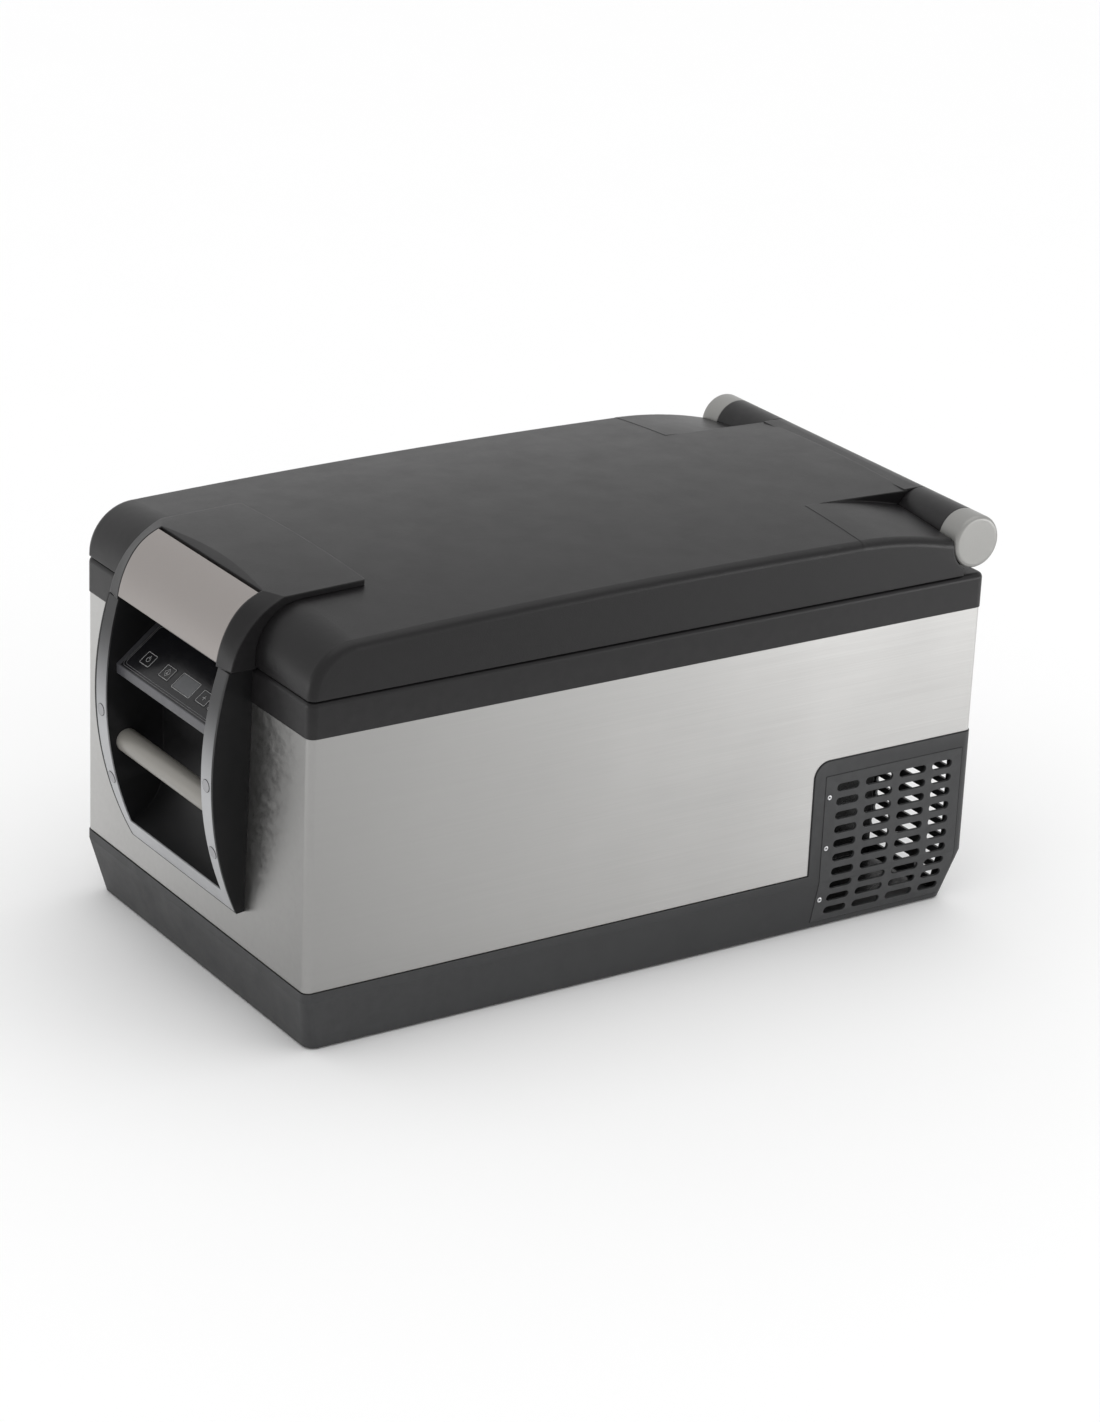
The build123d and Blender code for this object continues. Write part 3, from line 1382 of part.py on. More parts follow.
with BuildPart() as cover_pin:
    add(flap_rod(FLAP_PIN, 0.0))
    for side in (-1, 1):
        edge = DC_X + side * FLAP_HALF
        inner = edge - side * (WALL - FIT_GAP)
        add(
            block(
                min(edge, inner),
                max(edge, inner),
                plate_face,
                FLAP_PIN_Y + FLAP_PIN,
                FLAP_PIN_Z - FLAP_PIN,
                FLAP_PIN_Z + FLAP_PIN,
            )
        )
save(cover_pin.part, "cover_pin")

# ---- drain -------------------------------------------------------------------------------------
PLUG_HEAD = 14.0
PLUG_DEEP = 6.0
SPOUT_OUTER = DRAIN_RADIUS + WALL - FIT_GAP
liner_floor_top = LINER_FLOOR + LINER_WALL
with BuildPart() as drain_spout:
    add(rod(SPOUT_OUTER, (DRAIN_X, DRAIN_Y, FOOT_HEIGHT), (DRAIN_X, DRAIN_Y, LINER_FLOOR)))
    add(rod(DRAIN_RADIUS, (DRAIN_X, DRAIN_Y, 0), (DRAIN_X, DRAIN_Y, TALL)), mode=Mode.SUBTRACT)
save(drain_spout.part, "drain_spout")

with BuildPart() as drain_plug:
    plug_low = LINER_FLOOR - PLUG_DEEP
    add(rod(DRAIN_RADIUS - RUN_GAP, (DRAIN_X, DRAIN_Y, plug_low), (DRAIN_X, DRAIN_Y, liner_floor_top)))
    add(rod(PLUG_HEAD, (DRAIN_X, DRAIN_Y, liner_floor_top), (DRAIN_X, DRAIN_Y, liner_floor_top + SKIRT)))
    fillet(drain_plug.edges().group_by(Axis.Z)[-1], radius=1.0)
save(drain_plug.part, "drain_plug")

# ---- baskets, light, feet ----------------------------------------------------------------------
BASKET_WALL = 3.0
BASKET_TOP = 350.0
BASKET_GAP = 6.0
BASKET_LIFT = 12.0


def basket_form(y0, y1, low):
    """An open-topped basket inside the food space."""
    wide = 2 * (MOUTH_HALF - BASKET_GAP)
    with BuildPart() as piece:
        add(round_block(wide, y1 - y0, MOUTH_CORNER, low, BASKET_TOP, y=(y0 + y1) / 2))
        add(
            round_block(
                wide - 2 * BASKET_WALL,
                y1 - y0 - 2 * BASKET_WALL,
                MOUTH_CORNER - BASKET_WALL,
                low + BASKET_WALL,
                TALL,
                y=(y0 + y1) / 2,
            ),
            mode=Mode.SUBTRACT,
        )
    return piece.part


with BuildPart() as basket_main:
    add(basket_form(MOUTH_FRONT + BASKET_GAP, STEP_Y - BASKET_GAP, liner_floor_top + BASKET_LIFT))
save(basket_main.part, "basket_main")

with BuildPart() as basket_rear:
    add(basket_form(STEP_Y + BASKET_GAP, MOUTH_REAR - 2 * BASKET_GAP, STEP_Z + LINER_WALL))
save(basket_rear.part, "basket_rear")

LIGHT_WIDE = 52.0
LIGHT_LOW = 352.0
LIGHT_HIGH = 366.0
with BuildPart() as interior_light:
    add(block(-LIGHT_WIDE / 2, LIGHT_WIDE / 2, MOUTH_REAR - 7.0, MOUTH_REAR, LIGHT_LOW, LIGHT_HIGH))
    fillet(interior_light.edges().filter_by(Axis.X).group_by(Axis.Y)[0], radius=3.0)
save(interior_light.part, "interior_light")

FOOT_RADIUS = 19.0
FOOT_X = 180.0
FOOT_Y = 340.0
with BuildPart() as feet:
    with BuildSketch():
        with Locations((0, MID)):
            with GridLocations(2 * FOOT_X, 2 * FOOT_Y, 2, 2):
                Circle(FOOT_RADIUS)
    extrude(amount=FOOT_HEIGHT)
save(feet.part, "feet")
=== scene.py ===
import json
import math

import bmesh
import bpy
from mathutils import Matrix, Vector


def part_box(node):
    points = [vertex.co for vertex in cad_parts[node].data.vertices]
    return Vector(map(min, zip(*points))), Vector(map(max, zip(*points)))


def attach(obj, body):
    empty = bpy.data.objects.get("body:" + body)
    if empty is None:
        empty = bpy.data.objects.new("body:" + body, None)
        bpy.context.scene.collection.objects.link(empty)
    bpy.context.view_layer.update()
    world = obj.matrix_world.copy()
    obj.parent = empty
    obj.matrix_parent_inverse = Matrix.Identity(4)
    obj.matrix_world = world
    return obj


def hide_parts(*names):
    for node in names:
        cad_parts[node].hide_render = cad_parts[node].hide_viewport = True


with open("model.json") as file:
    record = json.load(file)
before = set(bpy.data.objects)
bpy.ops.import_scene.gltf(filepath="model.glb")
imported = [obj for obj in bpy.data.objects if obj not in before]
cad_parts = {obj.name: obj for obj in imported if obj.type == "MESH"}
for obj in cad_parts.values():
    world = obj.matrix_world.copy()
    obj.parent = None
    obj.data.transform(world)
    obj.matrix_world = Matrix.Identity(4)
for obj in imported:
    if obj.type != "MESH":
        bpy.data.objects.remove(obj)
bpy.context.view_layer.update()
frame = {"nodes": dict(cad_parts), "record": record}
NODES = frame["nodes"]
MM = 0.001

# ---- camera -------------------------------------------------------------------------------------
AZIMUTH = math.radians(56.18)
ELEVATION = math.radians(21.93)
ROLL = math.radians(2.54)
DISTANCE = 4.464
TARGET = Vector((-0.005, 0.0411, 0.207))
LENS = 105.05


def make_camera():
    """A long lens at the height and side of the product view."""
    flat = math.cos(ELEVATION)
    back = Vector((math.sin(AZIMUTH) * flat, -math.cos(AZIMUTH) * flat, math.sin(ELEVATION)))
    right = Vector((math.cos(AZIMUTH), math.sin(AZIMUTH), 0.0))
    up = back.cross(right)
    right_rolled = right * math.cos(ROLL) + up * math.sin(ROLL)
    up_rolled = up * math.cos(ROLL) - right * math.sin(ROLL)
    turn = Matrix((right_rolled, up_rolled, back)).transposed()
    data = bpy.data.cameras.new("product_camera")
    data.lens = LENS
    data.sensor_width = 36.0
    data.clip_start = 0.1
    data.clip_end = 100.0
    camera = bpy.data.objects.new("product_camera", data)
    camera.matrix_world = Matrix.Translation(TARGET + back * DISTANCE) @ turn.to_4x4()
    bpy.context.scene.collection.objects.link(camera)
    bpy.context.scene.camera = camera


# ---- lights and floor ----------------------------------------------------------------------------
# Both boxes stay lower than the lid, so that neither shows in its top.
BOX_HEIGHT = 0.24
BOX_TALL = 0.4
SURROUND_STRENGTH = 0.85
OVERHEAD_STRENGTH = 0.75
OVERHEAD_SPREAD = math.radians(70.0)
OVERHEAD_TILT = (math.radians(-8.0), math.radians(4.0), 0.0)
FLOOR_SIZE = 40.0


def area_light(name, place, aim, size, power):
    data = bpy.data.lights.new(name, "AREA")
    data.shape = "RECTANGLE"
    data.size = size[0]
    data.size_y = size[1]
    data.energy = power
    lamp = bpy.data.objects.new(name, data)
    lamp.location = place
    lamp.rotation_euler = (Vector(aim) - Vector(place)).to_track_quat("-Z", "Y").to_euler()
    bpy.context.scene.collection.objects.link(lamp)


def make_studio():
    """A pale floor, an even pale surround, a broad light above, and soft boxes behind and in front."""
    world = bpy.data.worlds.new("studio_surround")
    world.use_nodes = True
    shade = world.node_tree.nodes["Background"]
    shade.inputs["Color"].default_value = (1.0, 1.0, 1.0, 1.0)
    shade.inputs["Strength"].default_value = SURROUND_STRENGTH
    bpy.context.scene.world = world
    bpy.context.scene.view_settings.view_transform = "Standard"
    sun = bpy.data.lights.new("overhead_softbox", "SUN")
    sun.energy = OVERHEAD_STRENGTH
    sun.angle = OVERHEAD_SPREAD
    overhead = bpy.data.objects.new("overhead_softbox", sun)
    overhead.rotation_euler = OVERHEAD_TILT
    bpy.context.scene.collection.objects.link(overhead)
    area_light("rear_side_box", (1.7, 1.9, BOX_HEIGHT), (0.2, 0.4, 0.15), (1.3, BOX_TALL), 12.0)
    area_light("front_box", (-0.9, -2.6, BOX_HEIGHT), (0.0, -0.4, 0.2), (1.6, BOX_TALL), 7.0)
    bpy.ops.mesh.primitive_plane_add(size=FLOOR_SIZE, location=(0.0, 0.0, 0.0))
    floor = bpy.context.object
    floor.name = "studio_floor"
    floor.data.materials.append(floor_material())


# ---- material helpers ----------------------------------------------------------------------------
WEAR_START = 0.52
WEAR_END = 0.62


class Shade:
    """A small builder for one node material."""

    def __init__(self, name, color, rough, metallic=0.0, specular=0.5):
        self.mat = bpy.data.materials.new(name)
        self.mat.use_nodes = True
        self.tree = self.mat.node_tree
        self.bsdf = self.tree.nodes["Principled BSDF"]
        self.set("Base Color", (*color, 1.0))
        self.set("Roughness", rough)
        self.set("Metallic", metallic)
        self.set("Specular IOR Level", specular)
        self.coords = self.node("ShaderNodeTexCoord").outputs["Object"]
        self.normal = None

    def node(self, kind, **settings):
        made = self.tree.nodes.new(kind)
        for key, value in settings.items():
            setattr(made, key, value)
        return made

    def link(self, source, target):
        self.tree.links.new(source, target)

    def set(self, socket, value):
        self.bsdf.inputs[socket].default_value = value

    def mapped(self, scale):
        """Object coordinates stretched by a scale for each axis."""
        mapping = self.node("ShaderNodeMapping")
        mapping.inputs["Scale"].default_value = scale
        self.link(self.coords, mapping.inputs["Vector"])
        return mapping.outputs["Vector"]

    def noise(self, scale, detail=3.0, rough=0.55, stretch=(1.0, 1.0, 1.0)):
        made = self.node("ShaderNodeTexNoise")
        made.inputs["Scale"].default_value = scale
        made.inputs["Detail"].default_value = detail
        made.inputs["Roughness"].default_value = rough
        self.link(self.mapped(stretch), made.inputs["Vector"])
        return made.outputs["Fac"]

    def cells(self, scale, stretch=(1.0, 1.0, 1.0)):
        made = self.node("ShaderNodeTexVoronoi")
        made.inputs["Scale"].default_value = scale
        self.link(self.mapped(stretch), made.inputs["Vector"])
        return made.outputs["Distance"]

    def ramp(self, source, low, high, start=0.0, end=1.0):
        """A value taken from one range to another."""
        made = self.node("ShaderNodeMapRange")
        made.inputs["From Min"].default_value = start
        made.inputs["From Max"].default_value = end
        made.inputs["To Min"].default_value = low
        made.inputs["To Max"].default_value = high
        self.link(source, made.inputs["Value"])
        return made.outputs["Result"]

    def math(self, how, first, second):
        made = self.node("ShaderNodeMath", operation=how)
        for socket, value in ((0, first), (1, second)):
            if isinstance(value, (int, float)):
                made.inputs[socket].default_value = value
            else:
                self.link(value, made.inputs[socket])
        return made.outputs["Value"]

    def blend_color(self, factor, first, second):
        made = self.node("ShaderNodeMix", data_type="RGBA")
        self.link(factor, made.inputs["Factor"])
        for key, value in (("A", first), ("B", second)):
            socket = [i for i in made.inputs if i.name == key and i.type == "RGBA"][0]
            if isinstance(value, tuple):
                socket.default_value = (*value, 1.0)
            else:
                self.link(value, socket)
        return [o for o in made.outputs if o.type == "RGBA"][0]

    def color(self, source):
        self.link(source, self.bsdf.inputs["Base Color"])

    def rough(self, source):
        self.link(source, self.bsdf.inputs["Roughness"])

    def bump(self, height, depth, strength=1.0):
        """Adds a bump layer of a real depth in metres."""
        made = self.node("ShaderNodeBump")
        made.inputs["Distance"].default_value = depth
        made.inputs["Strength"].default_value = strength
        self.link(height, made.inputs["Height"])
        if self.normal is not None:
            self.link(self.normal, made.inputs["Normal"])
        self.normal = made.outputs["Normal"]
        self.link(self.normal, self.bsdf.inputs["Normal"])

    def soft_edges(self, radius):
        """Rounds the shading of sharp edges, as a moulding's small radii do."""
        made = self.node("ShaderNodeBevel")
        made.samples = 6
        made.inputs["Radius"].default_value = radius
        self.normal = made.outputs["Normal"]
        self.link(self.normal, self.bsdf.inputs["Normal"])

    def height_ramp(self, low, high):
        """0 below one height and 1 above another, smoothly between."""
        split = self.node("ShaderNodeSeparateXYZ")
        self.link(self.coords, split.inputs["Vector"])
        made = self.node("ShaderNodeMapRange", interpolation_type="SMOOTHSTEP")
        made.inputs["From Min"].default_value = low
        made.inputs["From Max"].default_value = high
        self.link(split.outputs["Z"], made.inputs["Value"])
        return made.outputs["Result"]

    def far_from_post(self, post, near, far):
        """0 beside an upright line and 1 beyond a distance from it."""
        flat = self.node("ShaderNodeVectorMath", operation="MULTIPLY")
        flat.inputs[1].default_value = (1.0, 1.0, 0.0)
        self.link(self.coords, flat.inputs[0])
        apart = self.node("ShaderNodeVectorMath", operation="DISTANCE")
        apart.inputs[1].default_value = (post[0], post[1], 0.0)
        self.link(flat.outputs["Vector"], apart.inputs[0])
        return self.ramp(apart.outputs["Value"], 0.0, 1.0, near, far)

    def edge_wear(self, under, over):
        """Lightens worn convex edges: a mask from the surface's pointiness, broken by noise."""
        geometry = self.node("ShaderNodeNewGeometry")
        edge = self.ramp(geometry.outputs["Pointiness"], 0.0, 1.0, WEAR_START, WEAR_END)
        broken = self.math("MULTIPLY", edge, self.noise(90.0, 4.0))
        return self.blend_color(broken, under, over)


def floor_material():
    """A pale seamless floor with a barely uneven tone."""
    shade = Shade("pale_floor", (0.92, 0.92, 0.92), 0.75, specular=0.2)
    tint = shade.noise(3.0)
    shade.color(shade.blend_color(tint, (0.915, 0.915, 0.915), (0.925, 0.925, 0.925)))
    return shade.mat


def moulded_plastic(
    name,
    color,
    rough,
    grain=0.12 * MM,
    scale=900.0,
    mottle=0.12,
    edge=1.2 * MM,
    specular=0.5,
    marks=0.06,
    wear=1.6,
):
    """A textured moulding: fine grain, faint mottling and handling marks in the gloss."""
    shade = Shade(name, color, rough, specular=specular)
    shade.soft_edges(edge)
    dark = tuple(c * (1.0 - mottle) for c in color)
    light = tuple(c * (1.0 + mottle) for c in color)
    patches = shade.noise(9.0, 5.0, 0.6)
    tone = shade.blend_color(shade.ramp(patches, 0.0, 1.0, 0.35, 0.65), dark, light)
    worn = tuple(min(1.0, c * wear + 0.01) for c in color)
    shade.color(shade.edge_wear(tone, worn))
    smudges = shade.noise(26.0, 6.0, 0.65)
    shade.rough(shade.ramp(smudges, rough - marks, rough + marks, 0.3, 0.7))
    shade.bump(shade.cells(scale), grain, 0.55)
    shade.bump(shade.noise(scale * 0.45, 2.0), grain, 0.4)
    return shade.mat


BRUSH_FINE = 260.0
BRUSH_LONG = 1.6
BRUSH_DEPTH = 0.01 * MM
BRUSH_CONTRAST = 0.10
# Painted shade on the steel near its front corner post: how dark it gets, and how far it reaches.
POST_SHADE_TONE = 0.60
POST_SHADE_REACH = 0.62


def brushed_metal(name, color, rough, along, corner=None):
    """Metal with fine brush lines that run along one axis, and painted shade that darkens it near one
    corner post.
    """
    shade = Shade(name, color, rough, metallic=1.0)
    shade.soft_edges(0.8 * MM)
    stretch = [BRUSH_FINE, BRUSH_FINE, BRUSH_FINE]
    stretch[along] = BRUSH_LONG
    brush = shade.noise(4.0, 4.0, 0.7, tuple(stretch))
    coarse = shade.noise(1.0, 3.0, 0.6, tuple(s * 0.5 for s in stretch))
    clouds = shade.noise(5.0, 3.0, 0.5)
    light = tuple(min(1.0, c * (1.0 + BRUSH_CONTRAST)) for c in color)
    dark = tuple(c * (1.0 - BRUSH_CONTRAST) for c in color)
    both = shade.math("ADD", shade.math("MULTIPLY", brush, 0.5), shade.math("MULTIPLY", clouds, 0.5))
    tone = shade.blend_color(shade.ramp(both, 0.0, 1.0, 0.3, 0.7), dark, light)
    # Painted shade: the colour darkens towards the given corner post, standing in for light falling off
    # there.
    if corner is not None:
        post_shade = tuple(c * POST_SHADE_TONE for c in color)
        tone = shade.blend_color(shade.far_from_post(corner, 0.0, POST_SHADE_REACH), post_shade, tone)
    shade.color(tone)
    shade.rough(shade.ramp(coarse, rough - 0.05, rough + 0.06, 0.3, 0.7))
    shade.bump(brush, BRUSH_DEPTH, 0.5)
    shade.set("Anisotropic", 0.4)
    return shade.mat


FLAKE_CONTRAST = 0.05
FLAKE_DEPTH = 0.01 * MM


def satin_paint(name, color, rough, metallic):
    """A satin metallic coat: fine flake, faint smears, slightly brighter worn edges."""
    shade = Shade(name, color, rough, metallic=metallic)
    shade.soft_edges(0.8 * MM)
    flakes = shade.noise(1800.0, 1.0)
    light = tuple(min(1.0, c * (1.0 + FLAKE_CONTRAST)) for c in color)
    dark = tuple(c * (1.0 - FLAKE_CONTRAST) for c in color)
    shade.color(shade.edge_wear(shade.blend_color(flakes, dark, light), light))
    smears = shade.noise(30.0, 5.0, 0.6)
    shade.rough(shade.ramp(smears, rough - 0.05, rough + 0.05, 0.3, 0.7))
    shade.bump(flakes, FLAKE_DEPTH, 0.3)
    return shade.mat


# Heights of the painted shade on the console's edging: plain colour below the first height, shaded dark
# above the second.
TRIM_UNSHADED_BELOW = 0.235
TRIM_SHADED_ABOVE = 0.355


def satin_trim(name):
    """The console's edging: its own bright satin colour below, with painted shade darkening it where it
    meets the lid.
    """
    shade = Shade(name, (0.4, 0.4, 0.4), 0.34, metallic=0.35)
    shade.soft_edges(0.8 * MM)
    flakes = shade.noise(1500.0, 1.0)
    bright = shade.blend_color(flakes, (0.38, 0.385, 0.395), (0.43, 0.435, 0.445))
    # Painted shade: the edging turns near-black towards the top, where it meets the lid.
    rise = shade.height_ramp(TRIM_UNSHADED_BELOW, TRIM_SHADED_ABOVE)
    shade.color(shade.blend_color(rise, bright, (0.022, 0.022, 0.023)))
    smears = shade.noise(40.0, 5.0, 0.6)
    shade.rough(shade.ramp(smears, 0.28, 0.42, 0.3, 0.7))
    shade.bump(flakes, FLAKE_DEPTH, 0.3)
    return shade.mat


def gloss_black(name, color):
    """A gloss overlay film with faint fingerprints."""
    shade = Shade(name, color, 0.2, specular=0.32)
    shade.soft_edges(0.3 * MM)
    prints = shade.noise(70.0, 6.0, 0.7)
    shade.color(shade.blend_color(prints, color, tuple(c * 1.8 for c in color)))
    shade.rough(shade.ramp(prints, 0.16, 0.28, 0.35, 0.7))
    shade.bump(shade.noise(12.0, 1.0), 0.04 * MM, 0.2)
    return shade.mat


def rubber(name, color):
    """A matt seal or foot with a little dust on it."""
    shade = Shade(name, color, 0.75, specular=0.3)
    dust = shade.noise(60.0, 5.0, 0.65)
    shade.color(shade.blend_color(shade.ramp(dust, 0.0, 1.0, 0.45, 0.75), color, (0.06, 0.058, 0.055)))
    shade.rough(shade.ramp(dust, 0.65, 0.85))
    shade.bump(shade.noise(500.0, 2.0), 0.1 * MM, 0.5)
    return shade.mat


def foam_material():
    """Poured rigid foam with small closed bubbles."""
    shade = Shade("rigid_foam", (0.82, 0.72, 0.42), 0.9, specular=0.2)
    bubbles = shade.cells(350.0)
    shade.color(shade.blend_color(bubbles, (0.7, 0.58, 0.3), (0.88, 0.79, 0.5)))
    shade.bump(bubbles, 0.6 * MM, 0.8)
    return shade.mat


# The steel wrap's front right corner post, where the steel carries painted shade.
STEEL_SHADE_POST = (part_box("steel_wrap")[1].x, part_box("steel_wrap")[0].y)
MATERIALS = {
    "base_plastic": moulded_plastic(
        "base_plastic", (0.030, 0.0305, 0.0315), 0.46, mottle=0.06, specular=0.3
    ),
    "dark_plastic": moulded_plastic("dark_plastic", (0.010, 0.010, 0.011), 0.5, specular=0.3),
    "brushed_steel": brushed_metal("brushed_steel", (0.545, 0.54, 0.53), 0.36, 1, corner=STEEL_SHADE_POST),
    "lid_plastic": moulded_plastic(
        "lid_plastic", (0.0075, 0.007, 0.0075), 0.36, mottle=0.06, edge=2.2 * MM, specular=0.27, marks=0.03
    ),
    "liner_plastic": moulded_plastic(
        "liner_plastic", (0.62, 0.63, 0.64), 0.32, grain=0.04 * MM, mottle=0.01, marks=0.02, wear=1.01
    ),
    "foam": foam_material(),
    "seal_rubber": rubber("seal_rubber", (0.02, 0.02, 0.02)),
    "bright_steel": brushed_metal("bright_steel", (0.62, 0.62, 0.63), 0.28, 0),
    "console_plastic": moulded_plastic("console_plastic", (0.008, 0.008, 0.0085), 0.42, specular=0.22),
    "trim_silver": satin_trim("trim_silver"),
    "trim_grey": satin_paint("trim_grey", (0.30, 0.30, 0.31), 0.4, 0.2),
    "bar_cream": satin_paint("bar_cream", (0.235, 0.225, 0.205), 0.33, 0.15),
    "panel_grey": moulded_plastic("panel_grey", (0.045, 0.045, 0.05), 0.34),
    "fascia_gloss": gloss_black("fascia_gloss", (0.006, 0.006, 0.007)),
    "display_glass": gloss_black("display_glass", (0.06, 0.062, 0.065)),
    "board_green": moulded_plastic("board_green", (0.015, 0.14, 0.05), 0.4),
    "lever_satin": satin_paint("lever_satin", (0.285, 0.262, 0.25), 0.36, 0.45),
    "cap_satin": satin_paint("cap_satin", (0.27, 0.268, 0.258), 0.36, 0.4),
    "black_paint": satin_paint("black_paint", (0.012, 0.012, 0.012), 0.25, 0.0),
    "bare_aluminium": brushed_metal("bare_aluminium", (0.55, 0.56, 0.57), 0.4, 2),
    "copper_pipe": brushed_metal("copper_pipe", (0.72, 0.37, 0.22), 0.3, 2),
    "basket_wire": satin_paint("basket_wire", (0.6, 0.61, 0.62), 0.3, 0.0),
    "light_lens": moulded_plastic("light_lens", (0.8, 0.8, 0.76), 0.25, mottle=0.02),
}
PRINT_WHITE = satin_paint("print_white", (0.62, 0.62, 0.62), 0.5, 0.0)
PRINT_GREY = satin_paint("print_grey", (0.12, 0.12, 0.125), 0.4, 0.0)


def dress_cad_nodes():
    """Gives every CAD node the material of its slot."""
    for entry in frame["record"]["subparts"]:
        node = NODES[entry["node"]]
        finish = MATERIALS[entry["material_slot"]]
        if len(node.material_slots) == 0:
            node.data.materials.append(finish)
        for socket in node.material_slots:
            socket.material = finish


# ---- shapes shared by the detail pieces ----------------------------------------------------------
def soft_corners(points, radius, closed=False, steps=6):
    """The path with every corner turned into an arc; radius is one value, or one for each point."""
    count = len(points)
    radii = radius if isinstance(radius, tuple) else (radius,) * count
    path = []
    for i, here in enumerate(points):
        here = Vector(here)
        if not closed and i in (0, count - 1):
            path.append(here)
            continue
        before = Vector(points[i - 1]) - here
        after = Vector(points[(i + 1) % count]) - here
        half_angle = before.angle(after) / 2
        cut = min(radii[i] / math.tan(half_angle), before.length / 2.1, after.length / 2.1)
        start = here + before.normalized() * cut
        end = here + after.normalized() * cut
        inward = (before.normalized() + after.normalized()).normalized()
        centre = here + inward * (cut / math.cos(half_angle))
        for k in range(steps + 1):
            spoke = (start - centre).normalized().slerp((end - centre).normalized(), k / steps)
            path.append(centre + spoke * (start - centre).length)
    return path


def wires(name, paths, thick, finish, body, resolution=3):
    """One piece of round wire that follows every path; a path is its points and whether it closes."""
    data = bpy.data.curves.new(name, "CURVE")
    data.dimensions = "3D"
    data.bevel_depth = thick
    data.bevel_resolution = resolution
    data.use_fill_caps = True
    for points, closed in paths:
        spline = data.splines.new("POLY")
        spline.points.add(len(points) - 1)
        for point, place in zip(spline.points, points):
            point.co = (*place, 1.0)
        spline.use_cyclic_u = closed
    data.materials.append(finish)
    piece = bpy.data.objects.new(name, data)
    bpy.context.scene.collection.objects.link(piece)
    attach(piece, body)
    return piece


def islands(node):
    """The vertex and face lists of each separate solid in a CAD node."""
    mesh = bmesh.new()
    mesh.from_mesh(NODES[node].data)
    bmesh.ops.remove_doubles(mesh, verts=mesh.verts, dist=1e-6)
    left = set(mesh.verts)
    found = []
    while left:
        stack = [left.pop()]
        group = set(stack)
        while stack:
            for edge in stack.pop().link_edges:
                for vert in edge.verts:
                    if vert not in group:
                        group.add(vert)
                        stack.append(vert)
        left -= group
        faces = {face for vert in group for face in vert.link_faces}
        found.append(
            (
                [vert.co.copy() for vert in group],
                [(face.normal.copy(), face.calc_area()) for face in faces],
            )
        )
    mesh.free()
    return found


def outer_cap(island, toward):
    """Centre, outward direction and radius of a round plug's cap that faces roughly one way."""
    points, faces = island
    normal = Vector((0.0, 0.0, 0.0))
    for direction, area in faces:
        if direction.dot(toward) > 0.75:
            normal += direction * area
    normal.normalize()
    top = max(point.dot(normal) for point in points)
    across = [point - normal * point.dot(normal) for point in points]
    middle = sum(across, Vector((0.0, 0.0, 0.0))) / len(across)
    radius = max((point - middle).length for point in across)
    return middle + normal * top, normal, radius


def circle_path(centre, normal, radius, count=40):
    side = normal.orthogonal().normalized()
    other = normal.cross(side)
    path = []
    for i in range(count):
        turn = 2 * math.pi * i / count
        path.append(centre + side * (radius * math.cos(turn)) + other * (radius * math.sin(turn)))
    return path


# ---- wire baskets ----------------------------------------------------------------------------------
WIRE = 1.1 * MM
RIM_WIRE = 2.0 * MM
WALL_INSET = 3.3 * MM
BASKET_CORNER = 24.0 * MM
WIRE_BEND = 9.0 * MM
BASKET_PITCH = 27.0 * MM
LOOP_PITCH = 44.0 * MM
LOWEST_LOOP = 14.0 * MM
TOP_GAP = 22.0 * MM


def rounded_loop(low, high, inset, z):
    """The corners of a level loop inside a box, rounded."""
    corners = (
        (low.x + inset, low.y + inset, z),
        (high.x - inset, low.y + inset, z),
        (high.x - inset, high.y - inset, z),
        (low.x + inset, high.y - inset, z),
    )
    return soft_corners(corners, BASKET_CORNER, closed=True)


def spread(start, end, pitch):
    """Evenly spaced positions, near the wanted pitch."""
    count = max(2, round((end - start) / pitch))
    return [start + (end - start) * i / count for i in range(count + 1)]


def wire_basket(node, name):
    """A welded basket: U-shaped wires both ways, loops round them and a thick rim."""
    low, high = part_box(node)
    top = high.z - RIM_WIRE
    paths = []
    for y in spread(low.y + BASKET_CORNER, high.y - BASKET_CORNER, BASKET_PITCH):
        z = low.z + WIRE
        points = (
            (low.x + WALL_INSET, y, top),
            (low.x + WALL_INSET, y, z),
            (high.x - WALL_INSET, y, z),
            (high.x - WALL_INSET, y, top),
        )
        paths.append((soft_corners(points, WIRE_BEND), False))
    for x in spread(low.x + BASKET_CORNER, high.x - BASKET_CORNER, BASKET_PITCH):
        z = low.z + 3 * WIRE
        points = (
            (x, low.y + WALL_INSET, top),
            (x, low.y + WALL_INSET, z),
            (x, high.y - WALL_INSET, z),
            (x, high.y - WALL_INSET, top),
        )
        paths.append((soft_corners(points, WIRE_BEND), False))
    for z in spread(low.z + LOWEST_LOOP, top - TOP_GAP, LOOP_PITCH):
        paths.append((rounded_loop(low, high, WIRE, z), True))
    finish = MATERIALS["basket_wire"]
    mesh_piece = wires(f"{name}_mesh", paths, WIRE, finish, "cabinet", 2)
    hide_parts(node)
    rims = [(rounded_loop(low, high, RIM_WIRE, top), True)]
    wires(f"{name}_rim", rims, RIM_WIRE, finish, "cabinet")


# ---- control panel marks -------------------------------------------------------------------------
PRINT_LINE = 0.22 * MM
BUTTON_MARGIN = 1.4 * MM
BUTTON_MARK_CORNER = 1.0 * MM
DISPLAY_MARGIN = 0.6 * MM
DISPLAY_CORNER = 0.8 * MM
BEAD_LINE = 0.3 * MM
BEAD_MARGINS = (1.6 * MM, 4.0 * MM)
BEAD_CORNER = 5.0 * MM


